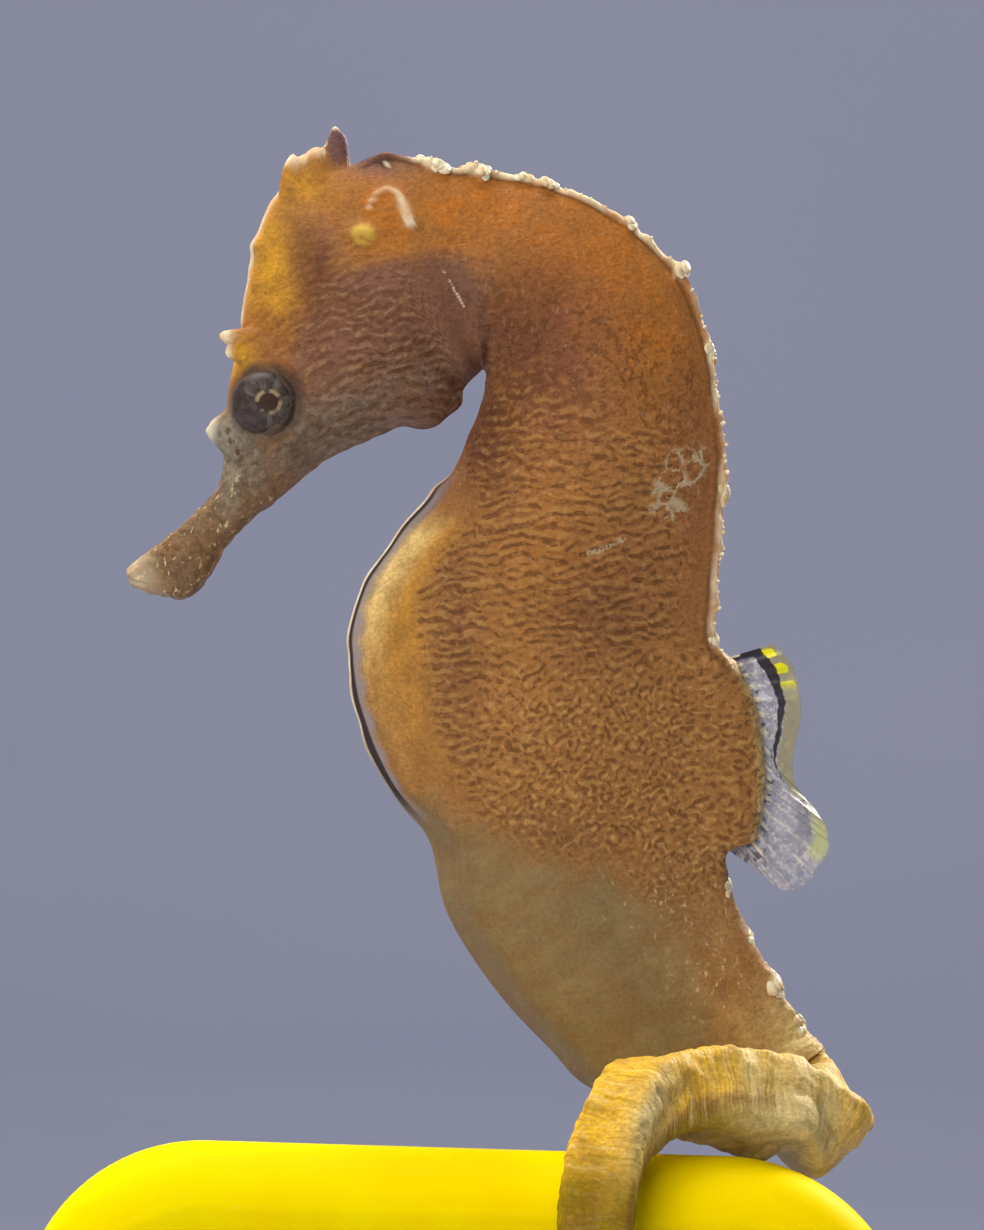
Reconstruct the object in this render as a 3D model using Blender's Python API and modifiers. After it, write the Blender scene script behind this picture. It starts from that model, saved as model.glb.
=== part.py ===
"""Lined seahorse (Hippocampus erectus), an adult male holding a chain link.

A life-size display model in metres, +Z up.  The animal faces -X and turns its
left side to -Y.  The origin is the centre of the underside of the stand.

The flesh is one long loft from the mouth to the tip of the tail.  Every
section is set by a point on the back, a point on the belly and a half width,
and each named sub-part is the stretch of that loft between two sections.
"""

import math

import bmesh
import bpy
import numpy as np
from mathutils import Matrix, Vector

MM = 0.001

# Stand: a flat slab and two short rods (mm).
BASE_LENGTH = 80.0
BASE_DEPTH = 44.0
BASE_HEIGHT = 8.0
BASE_ROUNDING = 1.5
ROD_DIAMETER = 3.0

# Perch: the top side and both bends of one plastic chain link (mm).
BAR_RADIUS = 4.2
BAR_Y = -6.0
BAR_Z = 26.2
BAR_SLOPE = 0.03  # fall of the bar for each mm toward +X
LINK_HALF_STRAIGHT = 17.7
LINK_BEND_RADIUS = 8.6
LINK_BEND_STEPS = 8

# Body (mm).
BODY_Y = 6.0  # the animal's middle plane
GAP = 0.3  # clearance between neighbouring pieces
AROUND = 10  # steps from the middle of the back to the middle of the belly
RING_STEP = 1.9  # length of one loft step on the head and trunk
TAIL_STEP = 1.4  # the same on the thinner tail
FIN_THICKNESS = 0.6

# Half outlines of the sections, from the middle of the back round to the
# middle of the belly, as fractions of the half width and half depth.
TUBE = ((0, 1), (0.5, 0.87), (0.87, 0.5), (1, 0), (0.87, -0.5), (0.5, -0.87), (0, -1))
HEAD = ((0, 1), (0.3, 0.92), (0.68, 0.5), (1, 0), (0.93, -0.42), (0.5, -0.8), (0, -1))
NECK = ((0, 0.97), (0.34, 0.97), (0.72, 0.55), (1, 0), (0.95, -0.5), (0.6, -0.86), (0, -1))
TRUNK = ((0, 0.96), (0.3, 0.98), (0.74, 0.55), (1, 0.05), (0.86, -0.45), (0.38, -0.82), (0, -1))
POUCH = ((0, 0.95), (0.42, 0.97), (0.72, 0.6), (0.82, 0.2), (1, -0.25), (0.82, -0.75), (0, -1))
TAIL = ((0, 0.88), (0.74, 0.92), (0.93, 0.45), (0.91, 0), (0.94, -0.45), (0.76, -0.92), (0, -0.9))

# Sections of head, trunk and brood pouch, all in the middle plane: name, back
# x and z, belly x and z, half width, outline.
BODY_SECTIONS = (
    ("mouth", -23.6, 70.0, -22.9, 68.6, 1.0, TUBE),
    ("lips", -22.3, 71.2, -21.1, 68.0, 1.7, TUBE),
    ("chin", -21.1, 72.1, -19.0, 68.2, 2.0, TUBE),
    ("snout middle", -18.9, 74.0, -16.6, 71.6, 1.8, TUBE),
    ("snout root", -17.4, 75.7, -14.6, 73.6, 1.9, TUBE),
    ("nose", -17.0, 77.6, -12.3, 75.5, 2.7, HEAD),
    ("cheek front", -16.8, 80.0, -9.9, 77.5, 3.6, HEAD),
    ("eye", -16.6, 82.8, -7.7, 78.6, 4.4, HEAD),
    ("brow", -15.8, 86.3, -5.2, 79.7, 4.7, HEAD),
    ("cheek", -15.1, 90.6, -2.1, 80.0, 5.1, HEAD),
    ("gill cover", -13.6, 95.4, -0.5, 81.4, 5.2, HEAD),
    ("crown", -11.2, 96.7, -0.2, 82.5, 5.0, HEAD),
    ("nape", -7.9, 98.1, 0.4, 83.2, 4.7, NECK),
    ("hump", -5.2, 98.9, 0.9, 83.6, 4.4, NECK),
    ("neck", -0.8, 97.7, 1.2, 83.8, 4.3, NECK),
    ("shoulder", 5.2, 96.9, 1.3, 83.4, 4.6, TRUNK),
    ("throat notch", 11.6, 93.8, 1.2, 82.4, 5.0, TRUNK),
    ("chest", 15.1, 89.9, 1.0, 81.3, 5.3, TRUNK),
    ("breast", 17.1, 84.6, 0.4, 79.6, 5.7, TRUNK),
    ("keel start", 17.9, 77.2, -1.4, 76.0, 6.2, TRUNK),
    ("keel upper", 17.6, 70.5, -5.2, 71.6, 6.6, TRUNK),
    ("belly", 17.3, 65.4, -7.7, 67.2, 6.8, TRUNK),
    ("belly lower", 18.0, 60.0, -7.9, 61.6, 6.7, TRUNK),
    ("keel end", 18.0, 54.6, -5.8, 55.4, 6.3, TRUNK),
    ("vent", 18.1, 50.1, -2.7, 51.4, 6.0, POUCH),
    ("pouch top", 18.9, 46.6, -1.4, 46.0, 6.2, POUCH),
    ("pouch middle", 21.2, 41.8, 1.8, 40.8, 5.9, POUCH),
    ("pouch lower", 22.8, 39.2, 5.6, 36.6, 5.2, POUCH),
    ("pouch end", 23.8, 37.6, 9.6, 33.2, 4.6, POUCH),
    ("tail root", 24.9, 36.7, 18.2, 31.9, 3.9, TAIL),
)

# The tail's turn toward -Y: centre, direction of the back, half thickness.
TAIL_TURN = (
    ((23.1, 5.4, 32.8), (0.80, 0.0, 0.60), 3.5),
    ((24.3, 3.0, 31.8), (0.83, 0.05, 0.55), 3.35),
    ((24.1, -0.2, 31.9), (0.60, 0.0, 0.80), 3.2),
)

# Its coil round the bar: x, angle round the bar from the top toward -Y
# (degrees), distance from the bar's axis, half thickness, lean of the back.
TAIL_COIL = (
    (21.6, -22, 8.1, 3.0, -8),
    (18.0, -11, 8.4, 2.9, -16),
    (14.9, 1, 8.4, 2.85, -20),
    (12.0, 18, 8.4, 2.85, -16),
    (10.0, 42, 8.1, 2.8, -8),
    (9.1, 68, 7.6, 2.75, -3),
    (8.7, 94, 7.3, 2.65, 0),
    (8.4, 130, 7.0, 2.45, 0),
    (8.2, 180, 6.7, 2.15, 0),
    (8.3, 232, 6.3, 1.7, 0),
    (8.7, 280, 5.8, 1.25, 0),
    (9.1, 320, 5.3, 0.75, 0),
)
COIL_STEPS = 36

# Where one sub-part ends and the next begins.
SPANS = (
    ("snout", "mouth", "snout root"),
    ("head", "snout root", "nape"),
    ("neck", "nape", "throat notch"),
    ("trunk_upper", "throat notch", "keel upper"),
    ("trunk_lower", "keel upper", "vent"),
    ("tail_bend", "tail root", "coil 0"),
    ("tail_arch", "coil 0", "coil 13"),
    ("tail_front", "coil 13", "coil 21"),
    ("tail_under", "coil 21", "coil 29"),
    ("tail_tip", "coil 29", "coil 36"),
)
POUCH_SPAN = ("vent", "tail root")
POUCH_SEAM = 2.9  # where tail base and pouch part, from 0 at the back to 6 at the belly
SEAM_SLOPE = 0.42  # fall of the pouch outline there, in half depths for each unit

# Head features (mm).
EYE_CENTRE = (-14.3, 81.6)
EYE_RADIUS = 2.3
EYE_DEPTH = 1.5
EYE_OUT = 2.9  # from the middle plane to the eye's centre
SPINE_ROOT_RADIUS = 0.8
SPINE_TIP_RADIUS = 0.15
NOSE_SPINE = ((-15.6, 79.2), (-18.4, 79.7))
EYE_SPINE = ((-14.6, 85.4), (-17.3, 86.2))
EYE_SPINE_OUT = 1.9
CORONET_ROOT = (-11.0, 95.8)
CORONET_TOP = (-10.8, 98.9)
CORONET_RADII = (2.6, 1.8)
# Points of the coronet: root x and z, tip x and z, distance from the middle.
CORONET_POINTS = (
    ((-12.2, 97.0), (-12.7, 99.2), 0.9),
    ((-11.0, 97.6), (-11.3, 99.8), 1.1),
    ((-9.6, 97.4), (-9.2, 100.7), 0.0),
    ((-9.4, 97.4), (-8.9, 99.3), 1.0),
)

# Dorsal fin in the middle plane, from its front lobe round to its rear lobe.
FIN_ROOT = ((17.9, 63.6), (19.4, 57.0), (17.9, 50.6))
FIN_EDGE = (
    (21.6, 64.7), (23.0, 62.8), (23.4, 59.6), (22.9, 55.4),
    (24.7, 52.7), (25.4, 50.8), (24.2, 48.3), (22.4, 47.4), (20.4, 48.7),
)
# Platform of the back under the dorsal fin: its outer edge, reach and half width.
FIN_PLATFORM = ((18.7, 63.8), (20.3, 60.2), (20.9, 55.2), (20.3, 50.9))
FIN_PLATFORM_REACH = 3.0
FIN_PLATFORM_HALF = 1.2

# Pectoral fins: a small fan behind each gill opening.
PECTORAL_ROOT = (-1.6, 90.4)
PECTORAL_OUT = 4.2
PECTORAL_LENGTH = 3.4
PECTORAL_SPREAD = 42.0
PECTORAL_FLARE = 22.0

for old in list(bpy.data.objects):
    bpy.data.objects.remove(old, do_unlink=True)

PARTS = bpy.data.collections.new("seahorse")
CUTTERS = bpy.data.collections.new("cutters")
bpy.context.scene.collection.children.link(PARTS)
bpy.context.scene.collection.children.link(CUTTERS)
CUTTERS.hide_render = True


def spline(rows, place):
    """Catmull-Rom value of an array of rows at a fractional row number."""
    rows = np.asarray(rows, float)
    k = min(int(place), len(rows) - 2)
    t = place - k
    a = rows[k - 1] if k > 0 else 2 * rows[0] - rows[1]
    b = rows[k]
    c = rows[k + 1]
    d = rows[k + 2] if k + 2 < len(rows) else 2 * rows[-1] - rows[-2]
    return b + 0.5 * t * (c - a + t * (2 * a - 5 * b + 4 * c - d + t * (3 * (b - c) + d - a)))


def unit(vector):
    return vector / np.linalg.norm(vector)


def tail_rows():
    """Centre, direction of the back and half thickness along the free tail."""
    rows = [(np.array(c), np.array(back), half) for c, back, half in TAIL_TURN]
    for k in range(COIL_STEPS + 1):
        x, turn, reach, half, lean = spline(TAIL_COIL, k / COIL_STEPS * (len(TAIL_COIL) - 1))
        turn = math.radians(turn)
        back = turn + math.radians(lean)
        centre = (x, BAR_Y - reach * math.sin(turn), BAR_Z - BAR_SLOPE * x + reach * math.cos(turn))
        rows.append((np.array(centre), np.array((0, -math.sin(back), math.cos(back))), half))
    return rows


def all_sections():
    """Back point, belly point, half-width vector and outline of each section."""
    names, table = [], []
    for name, back_x, back_z, belly_x, belly_z, half, outline in BODY_SECTIONS:
        names.append(name)
        table.append(np.concatenate([
            (back_x, BODY_Y, back_z), (belly_x, BODY_Y, belly_z), (0, -half, 0),
            np.ravel(outline)]))
    rows = tail_rows()
    centres = [(table[-1][:3] + table[-1][3:6]) / 2] + [row[0] for row in rows]
    for k, (centre, back, half) in enumerate(rows):
        ahead = centres[min(k + 2, len(centres) - 1)]
        along = unit(ahead - centres[k])
        back = unit(back - along * np.dot(back, along))
        side = np.cross(along, back)
        names.append("turn %d" % k if k < len(TAIL_TURN) else "coil %d" % (k - len(TAIL_TURN)))
        table.append(np.concatenate([
            centre + half * back, centre - half * back, half * side, np.ravel(TAIL)]))
    return names, np.array(table)


NAMES, TABLE = all_sections()


def section(place, part="whole", grow=0.0):
    """Ring of points round the section at a fractional section number.

    part is whole, back (tail base) or belly (brood pouch), and grow widens
    the ring all round."""
    row = spline(TABLE, place)
    back, belly, side = row[:3], row[3:6], row[6:9]
    outline = row[9:].reshape(-1, 2)
    centre, up = (back + belly) / 2, (back - belly) / 2
    clearance = GAP / 2 / (SEAM_SLOPE * np.linalg.norm(up))
    first = POUCH_SEAM + clearance if part == "belly" else 0.0
    last = POUCH_SEAM - clearance if part == "back" else 6.0
    up = up * (1 + grow / np.linalg.norm(up))
    side = side * (1 + grow / np.linalg.norm(side))
    half = [spline(outline, first + (last - first) * k / AROUND) for k in range(AROUND + 1)]
    half = [(max(u, 0.0), v) for u, v in half]
    left = [(u, v) for u, v in half]
    right = [(-u, v) for u, v in reversed(half)]
    if first == 0.0:
        left[0], right = (0.0, left[0][1]), right[:-1]
    if last == 6.0:
        left[-1], right = (0.0, left[-1][1]), right[1:]
    return [centre + v * up + u * side for u, v in left + right]


def clear_of(start, toward):
    """Section number just past start where the whole ring is a gap away."""
    ring = np.array(section(start))
    for k in range(1, 400):
        place = start + (toward - start) * k / 400
        if np.linalg.norm(np.array(section(place)) - ring, axis=1).min() > GAP:
            return place
    return toward


def places(start, end, step):
    """Section numbers from start to end, about one step of length apart."""
    fine = np.linspace(clear_of(start, end), clear_of(end, start), 200)
    centres = [(row[:3] + row[3:6]) / 2 for row in (spline(TABLE, p) for p in fine)]
    length = np.concatenate([[0], np.cumsum(np.linalg.norm(np.diff(centres, axis=0), axis=1))])
    even = np.linspace(0, length[-1], max(2, round(length[-1] / step)) + 1)
    return np.interp(even, length, fine)


def end_ring(place, inward, part, grow):
    """The ring at the end of a piece, half a gap inside its neighbour's plane."""
    row = spline(TABLE, place)
    normal = unit(np.cross(row[:3] - row[3:6], row[6:9]))
    within = spline(TABLE, inward)
    if np.dot(within[:3] + within[3:6] - row[:3] - row[3:6], normal) < 0:
        normal = -normal
    return [point + normal * GAP / 2 for point in section(place, part, grow)]


def new_object(name, mesh):
    thing = bpy.data.objects.new(name, mesh)
    PARTS.objects.link(thing)
    return thing


def loft(name, rings):
    """Closed body through rings of equal length, its ends capped by fans."""
    mesh = bpy.data.meshes.new(name)
    bm = bmesh.new()
    loops = [[bm.verts.new(Vector(p) * MM) for p in ring] for ring in rings]
    count = len(loops[0])
    for one, two in zip(loops, loops[1:]):
        for k in range(count):
            bm.faces.new((one[k], one[(k + 1) % count], two[(k + 1) % count], two[k]))
    for loop in (loops[0], loops[-1]):
        middle = bm.verts.new(sum((v.co for v in loop), Vector()) / count)
        for k in range(count):
            bm.faces.new((loop[k], loop[(k + 1) % count], middle))
    bmesh.ops.triangulate(bm, faces=[f for f in bm.faces if len(f.verts) > 3])
    bmesh.ops.recalc_face_normals(bm, faces=bm.faces)
    if bm.calc_volume(signed=True) < 0:
        bmesh.ops.reverse_faces(bm, faces=bm.faces)
    bm.to_mesh(mesh)
    bm.free()
    mesh.shade_smooth()
    mesh.set_sharp_from_angle(angle=math.radians(50))
    return new_object(name, mesh)


def body_piece(name, start, end, step, part="whole", grow=0.0):
    first, last = NAMES.index(start), NAMES.index(end)
    inner = places(first, last, step)
    rings = [section(p, part, grow) for p in inner]
    rings.insert(0, end_ring(first, inner[0], part, grow))
    rings.append(end_ring(last, inner[-1], part, grow))
    return loft(name, rings)


def hide(thing):
    """Moves a helper to the cutters, where no render or build shows it."""
    for collection in list(thing.users_collection):
        collection.objects.unlink(thing)
    CUTTERS.objects.link(thing)
    thing.hide_render = True
    thing.display_type = "WIRE"
    return thing


def boolean(thing, other, operation):
    modifier = thing.modifiers.new(operation.lower() + " " + other.name, "BOOLEAN")
    modifier.object = other
    modifier.operation = operation
    modifier.solver = "EXACT"


def mesh_from(name, make):
    mesh = bpy.data.meshes.new(name)
    bm = bmesh.new()
    make(bm)
    bm.to_mesh(mesh)
    bm.free()
    mesh.shade_smooth()
    mesh.set_sharp_from_angle(angle=math.radians(50))
    return new_object(name, mesh)


def spike(name, root, tip, root_radius, tip_radius=SPINE_TIP_RADIUS, segments=10):
    """Cone between two points, as a helper to be joined to its root."""
    root, tip = Vector(root), Vector(tip)
    axis = tip - root
    turn = axis.to_track_quat("Z", "Y").to_matrix().to_4x4()
    place = Matrix.Translation((root + tip) / 2 * MM) @ turn

    def make(bm):
        bmesh.ops.create_cone(
            bm, cap_ends=True, segments=segments, radius1=root_radius * MM,
            radius2=tip_radius * MM, depth=axis.length * MM, matrix=place)

    return hide(mesh_from(name, make))


def in_plane(point, out=0.0):
    """Point of the middle plane, moved out to the animal's left (-Y)."""
    return (point[0], BODY_Y - out, point[1])


def ellipsoid(name, centre, radii):
    def make(bm):
        size = Matrix.Diagonal((radii[0] * MM, radii[1] * MM, radii[2] * MM, 1))
        bmesh.ops.create_uvsphere(
            bm, u_segments=18, v_segments=12, radius=1,
            matrix=Matrix.Translation(Vector(centre) * MM) @ size)

    return mesh_from(name, make)


def plate(name, outline, thickness):
    """Flat plate in the XZ plane from a closed outline, as a mesh."""
    data = bpy.data.curves.new(name, "CURVE")
    data.dimensions = "2D"
    data.fill_mode = "BOTH"
    data.extrude = thickness / 2 * MM
    line = data.splines.new("POLY")
    line.points.add(len(outline) - 1)
    line.use_cyclic_u = True
    for point, (x, z) in zip(line.points, outline):
        point.co = (x * MM, z * MM, 0, 1)
    curve = bpy.data.objects.new(name, data)
    PARTS.objects.link(curve)
    bpy.context.view_layer.update()
    mesh = bpy.data.meshes.new_from_object(
        curve.evaluated_get(bpy.context.evaluated_depsgraph_get()))
    bpy.data.objects.remove(curve, do_unlink=True)
    mesh.transform(Matrix.Rotation(math.pi / 2, 4, "X"))
    bm = bmesh.new()
    bm.from_mesh(mesh)
    bmesh.ops.remove_doubles(bm, verts=bm.verts, dist=1e-6)
    bmesh.ops.recalc_face_normals(bm, faces=bm.faces)
    bm.to_mesh(mesh)
    bm.free()
    mesh.name = name
    return new_object(name, mesh)


def paint(thing, colour, roughness, metallic=0.0):
    material = bpy.data.materials.new(thing.name)
    material.use_nodes = True
    shader = material.node_tree.nodes["Principled BSDF"]
    shader.inputs["Base Color"].default_value = (*colour, 1)
    shader.inputs["Roughness"].default_value = roughness
    shader.inputs["Metallic"].default_value = metallic
    thing.data.materials.clear()
    thing.data.materials.append(material)


def build_flesh():
    """Head, neck, trunk and free tail."""
    pieces = {}
    for name, start, end in SPANS:
        step = TAIL_STEP if name.startswith("tail") else RING_STEP
        pieces[name] = body_piece(name, start, end, step)
    for name, part in (("tail_base", "back"), ("brood_pouch", "belly")):
        pieces[name] = body_piece(name, *POUCH_SPAN, RING_STEP, part)
    return pieces


def build_head_features(head):
    """Eyes in their sockets, spines joined to the head, and the coronet."""
    for side, sign in (("left", 1), ("right", -1)):
        centre = in_plane(EYE_CENTRE, sign * EYE_OUT)
        eye = ellipsoid("eye_" + side, centre, (EYE_RADIUS, EYE_DEPTH, EYE_RADIUS))
        paint(eye, (0.05, 0.04, 0.035), 0.15)
        room = (EYE_RADIUS + GAP, EYE_DEPTH + GAP, EYE_RADIUS + GAP)
        socket = hide(ellipsoid("socket_" + side, centre, room))
        boolean(head, socket, "DIFFERENCE")
        out = sign * EYE_SPINE_OUT
        horn = spike("horn_" + side, in_plane(EYE_SPINE[0], out * 0.8),
                     in_plane(EYE_SPINE[1], out), SPINE_ROOT_RADIUS)
        boolean(head, horn, "UNION")
    nose = spike("nose_horn", in_plane(NOSE_SPINE[0]), in_plane(NOSE_SPINE[1]), SPINE_ROOT_RADIUS)
    boolean(head, nose, "UNION")

    root, top = Vector(in_plane(CORONET_ROOT)), Vector(in_plane(CORONET_TOP))
    coronet = spike("coronet", root, top, 1.0, 0.8, 16)
    CUTTERS.objects.unlink(coronet)
    PARTS.objects.link(coronet)
    coronet.hide_render = False
    coronet.display_type = "TEXTURED"
    for vertex in coronet.data.vertices:
        offset = vertex.co - root * MM
        vertex.co.x = root.x * MM + offset.x * CORONET_RADII[0]
        vertex.co.y = root.y * MM + offset.y * CORONET_RADII[1]
    number = 0
    for point_root, tip, out in CORONET_POINTS:
        for sign in (1, -1) if out else (1,):
            number += 1
            point = spike("coronet_point_%d" % number, in_plane(point_root, sign * out * 0.9),
                          in_plane(tip, sign * out), 0.75)
            boolean(coronet, point, "UNION")
    bed = hide(body_piece("coronet_bed", "cheek", "nape", RING_STEP, grow=GAP))
    boolean(coronet, bed, "DIFFERENCE")
    return coronet


def build_dorsal_fin(trunk):
    """The platform on the back, joined to the trunk, and the fin above it."""
    steps = 8
    spots = [spline(FIN_PLATFORM, k / steps * 3) for k in range(steps + 1)]

    def platform_rings(grow):
        rings = []
        for k, spot in enumerate(spots):
            taper = math.sqrt(max(0.12, 1 - abs(2 * k / steps - 1) ** 4))
            rings.append([
                in_plane((spot[0] + (FIN_PLATFORM_REACH + grow) * (math.cos(a) - 1) + grow,
                          spot[1]), (FIN_PLATFORM_HALF * taper + grow) * math.sin(a))
                for a in (2 * math.pi * j / 12 for j in range(12))])
        return rings

    platform = hide(loft("fin_platform", platform_rings(0.0)))
    boolean(trunk, platform, "UNION")
    edge = [spline(FIN_EDGE, k / 24 * (len(FIN_EDGE) - 1)) for k in range(25)]
    root = [spline(FIN_ROOT, k / 6 * 2) for k in range(6, -1, -1)]
    fin = plate("dorsal_fin", edge + root, FIN_THICKNESS)
    fin.location.y = BODY_Y * MM
    boolean(fin, hide(loft("platform_room", platform_rings(GAP))), "DIFFERENCE")
    room = hide(body_piece("fin_room", "keel upper", "pouch top", RING_STEP, grow=GAP))
    boolean(fin, room, "DIFFERENCE")
    return fin


def build_pectoral_fins():
    room = hide(body_piece("pectoral_room", "crown", "chest", RING_STEP, grow=GAP))
    rays = 12
    fan = []
    for k in range(rays + 1):
        angle = math.radians(PECTORAL_SPREAD * (2 * k / rays - 1))
        reach = PECTORAL_LENGTH * (0.94 + 0.06 * math.cos(2 * angle))
        fan.append((reach * math.cos(angle), reach * math.sin(angle)))
    fan += [(0.0, 0.7), (0.0, -0.7)]
    fins = []
    for side, sign in (("left", 1), ("right", -1)):
        fin = plate("pectoral_fin_" + side, fan, FIN_THICKNESS)
        fin.location = Vector(in_plane(PECTORAL_ROOT, sign * PECTORAL_OUT)) * MM
        fin.rotation_euler.z = math.radians(-sign * PECTORAL_FLARE)
        boolean(fin, room, "DIFFERENCE")
        fins.append(fin)
    return fins


def build_perch():
    """The link as a round bar along its own centre line."""
    bend = [math.pi / 2 * k / LINK_BEND_STEPS for k in range(LINK_BEND_STEPS + 1)]
    right = [(LINK_HALF_STRAIGHT + LINK_BEND_RADIUS * math.sin(a),
              LINK_BEND_RADIUS * (math.cos(a) - 1)) for a in bend]
    route = [(-x, z) for x, z in reversed(right)] + right
    data = bpy.data.curves.new("perch_link", "CURVE")
    data.dimensions = "3D"
    data.bevel_depth = BAR_RADIUS * MM
    data.bevel_resolution = 6
    data.use_fill_caps = True
    line = data.splines.new("POLY")
    line.points.add(len(route) - 1)
    for point, (x, z) in zip(line.points, route):
        point.co = (x * MM, BAR_Y * MM, (BAR_Z + z - BAR_SLOPE * x) * MM, 1)
    line.use_smooth = True
    link = bpy.data.objects.new("perch_link", data)
    PARTS.objects.link(link)
    return link


def build_stand():
    bpy.ops.mesh.primitive_cube_add(size=1, location=(0, 0, BASE_HEIGHT / 2 * MM))
    base = bpy.context.active_object
    base.name = "stand_base"
    base.data.transform(Matrix.Diagonal((
        BASE_LENGTH * MM, BASE_DEPTH * MM, BASE_HEIGHT * MM, 1)))
    bevel = base.modifiers.new("rounding", "BEVEL")
    bevel.width = BASE_ROUNDING * MM
    bevel.segments = 3
    base.data.shade_smooth()
    base.data.set_sharp_from_angle(angle=math.radians(50))
    for collection in list(base.users_collection):
        collection.objects.unlink(base)
    PARTS.objects.link(base)
    rods = []
    for side, sign in (("left", -1), ("right", 1)):
        x = sign * (LINK_HALF_STRAIGHT + LINK_BEND_RADIUS)
        bottom = BASE_HEIGHT + GAP
        top = BAR_Z - LINK_BEND_RADIUS - BAR_SLOPE * x - GAP
        rod = mesh_from("stand_rod_" + side, lambda bm: bmesh.ops.create_cone(
            bm, cap_ends=True, segments=24, radius1=ROD_DIAMETER / 2 * MM,
            radius2=ROD_DIAMETER / 2 * MM, depth=(top - bottom) * MM))
        rod.location = Vector((x, BAR_Y, (top + bottom) / 2)) * MM
        rods.append(rod)
    return base, rods


ORANGE = (0.42, 0.17, 0.05)
BROWN = (0.30, 0.13, 0.05)
OLIVE = (0.24, 0.17, 0.07)
AMBER = (0.46, 0.27, 0.07)
FLESH_COLOURS = {
    "snout": OLIVE, "head": BROWN, "neck": ORANGE, "trunk_upper": ORANGE,
    "trunk_lower": BROWN, "tail_base": BROWN, "brood_pouch": OLIVE, "tail_bend": AMBER,
    "tail_arch": AMBER, "tail_front": AMBER, "tail_under": OLIVE, "tail_tip": OLIVE,
}

flesh = build_flesh()
for name, piece in flesh.items():
    paint(piece, FLESH_COLOURS[name], 0.5)
paint(build_head_features(flesh["head"]), ORANGE, 0.5)
paint(build_dorsal_fin(flesh["trunk_lower"]), (0.45, 0.47, 0.42), 0.35)
for fin in build_pectoral_fins():
    paint(fin, (0.5, 0.45, 0.38), 0.35)
paint(build_perch(), (0.85, 0.62, 0.01), 0.25)
slab, rods = build_stand()
paint(slab, (0.03, 0.03, 0.032), 0.45)
for rod in rods:
    paint(rod, (0.6, 0.6, 0.6), 0.3, 1.0)
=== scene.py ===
"""Looks of a life-size lined seahorse, coiled round a yellow chain link.

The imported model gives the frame.  This script lays one continuous skin over
the solids of flesh, from the lips to the tip of the tail, and adds the knobs
of the back, the eyes, the fins, the moulded link and the display stand.  The
animal faces -X and turns its left side to -Y, where the camera stands.
Lengths are in millimetres until they reach a mesh, which is in metres.
"""

import math
from functools import partial, reduce
from types import SimpleNamespace

import bmesh
import bpy
import numpy as np
from mathutils import Matrix, Vector


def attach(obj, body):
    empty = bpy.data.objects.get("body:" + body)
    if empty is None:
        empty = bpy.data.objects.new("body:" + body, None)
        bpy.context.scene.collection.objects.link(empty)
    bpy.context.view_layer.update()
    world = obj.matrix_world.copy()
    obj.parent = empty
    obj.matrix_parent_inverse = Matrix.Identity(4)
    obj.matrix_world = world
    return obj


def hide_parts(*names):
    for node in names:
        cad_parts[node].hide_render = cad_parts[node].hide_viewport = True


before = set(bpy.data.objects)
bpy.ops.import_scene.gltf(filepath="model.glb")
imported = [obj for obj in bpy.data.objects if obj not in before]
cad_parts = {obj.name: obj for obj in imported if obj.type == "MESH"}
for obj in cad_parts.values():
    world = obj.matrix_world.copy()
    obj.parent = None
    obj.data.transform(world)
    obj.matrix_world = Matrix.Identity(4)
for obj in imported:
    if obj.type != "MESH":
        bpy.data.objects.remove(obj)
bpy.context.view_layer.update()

MM = 0.001

# Perch (mm): the bar of the link lies along X.
BAR_RADIUS = 4.2
BAR_Y = -6.0
BAR_Z = 26.2
BAR_SLOPE = 0.03
LINK_HALF_STRAIGHT = 17.7
LINK_BEND_RADIUS = 8.6
LINK_BEND_STEPS = 24
LINK_STRAIGHT_STEPS = 60
# Rings of each cut end: size, and push outward.
LINK_CUT = ((1.0, -0.35), (0.985, -0.12), (0.94, 0.0), (0.5, 0.0), (0.02, 0.0))

# Stand (mm).
BASE_LENGTH = 80.0
BASE_DEPTH = 44.0
BASE_HEIGHT = 8.0
BASE_ROUNDING = 1.5
ROD_DIAMETER = 3.0

# Camera (mm): level, looking along +Y at the animal's middle plane.
BODY_Y = 6.0
CAMERA_X = 1.8
CAMERA_Z = 66.7
CAMERA_DISTANCE = 450.0
VIEW_HEIGHT = 86.1
SENSOR_HEIGHT = 24.0

# Half outlines of the sections, from the middle of the back round to the
# middle of the belly, as fractions of the half width and half depth.
TUBE = ((0, 1), (0.5, 0.87), (0.87, 0.5), (1, 0), (0.87, -0.5), (0.5, -0.87), (0, -1))
HEAD = ((0, 1), (0.3, 0.92), (0.68, 0.5), (1, 0), (0.93, -0.42), (0.5, -0.8), (0, -1))
NECK = ((0, 0.97), (0.34, 0.97), (0.72, 0.55), (1, 0), (0.95, -0.5), (0.6, -0.86), (0, -1))
TRUNK = ((0, 0.96), (0.3, 0.98), (0.74, 0.55), (1, 0.05), (0.86, -0.45), (0.38, -0.82), (0, -1))
POUCH = ((0, 0.95), (0.42, 0.97), (0.72, 0.6), (0.82, 0.2), (1, -0.25), (0.82, -0.75), (0, -1))
TAIL = ((0, 0.88), (0.74, 0.92), (0.93, 0.45), (0.91, 0), (0.94, -0.45), (0.76, -0.92), (0, -0.9))

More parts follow.
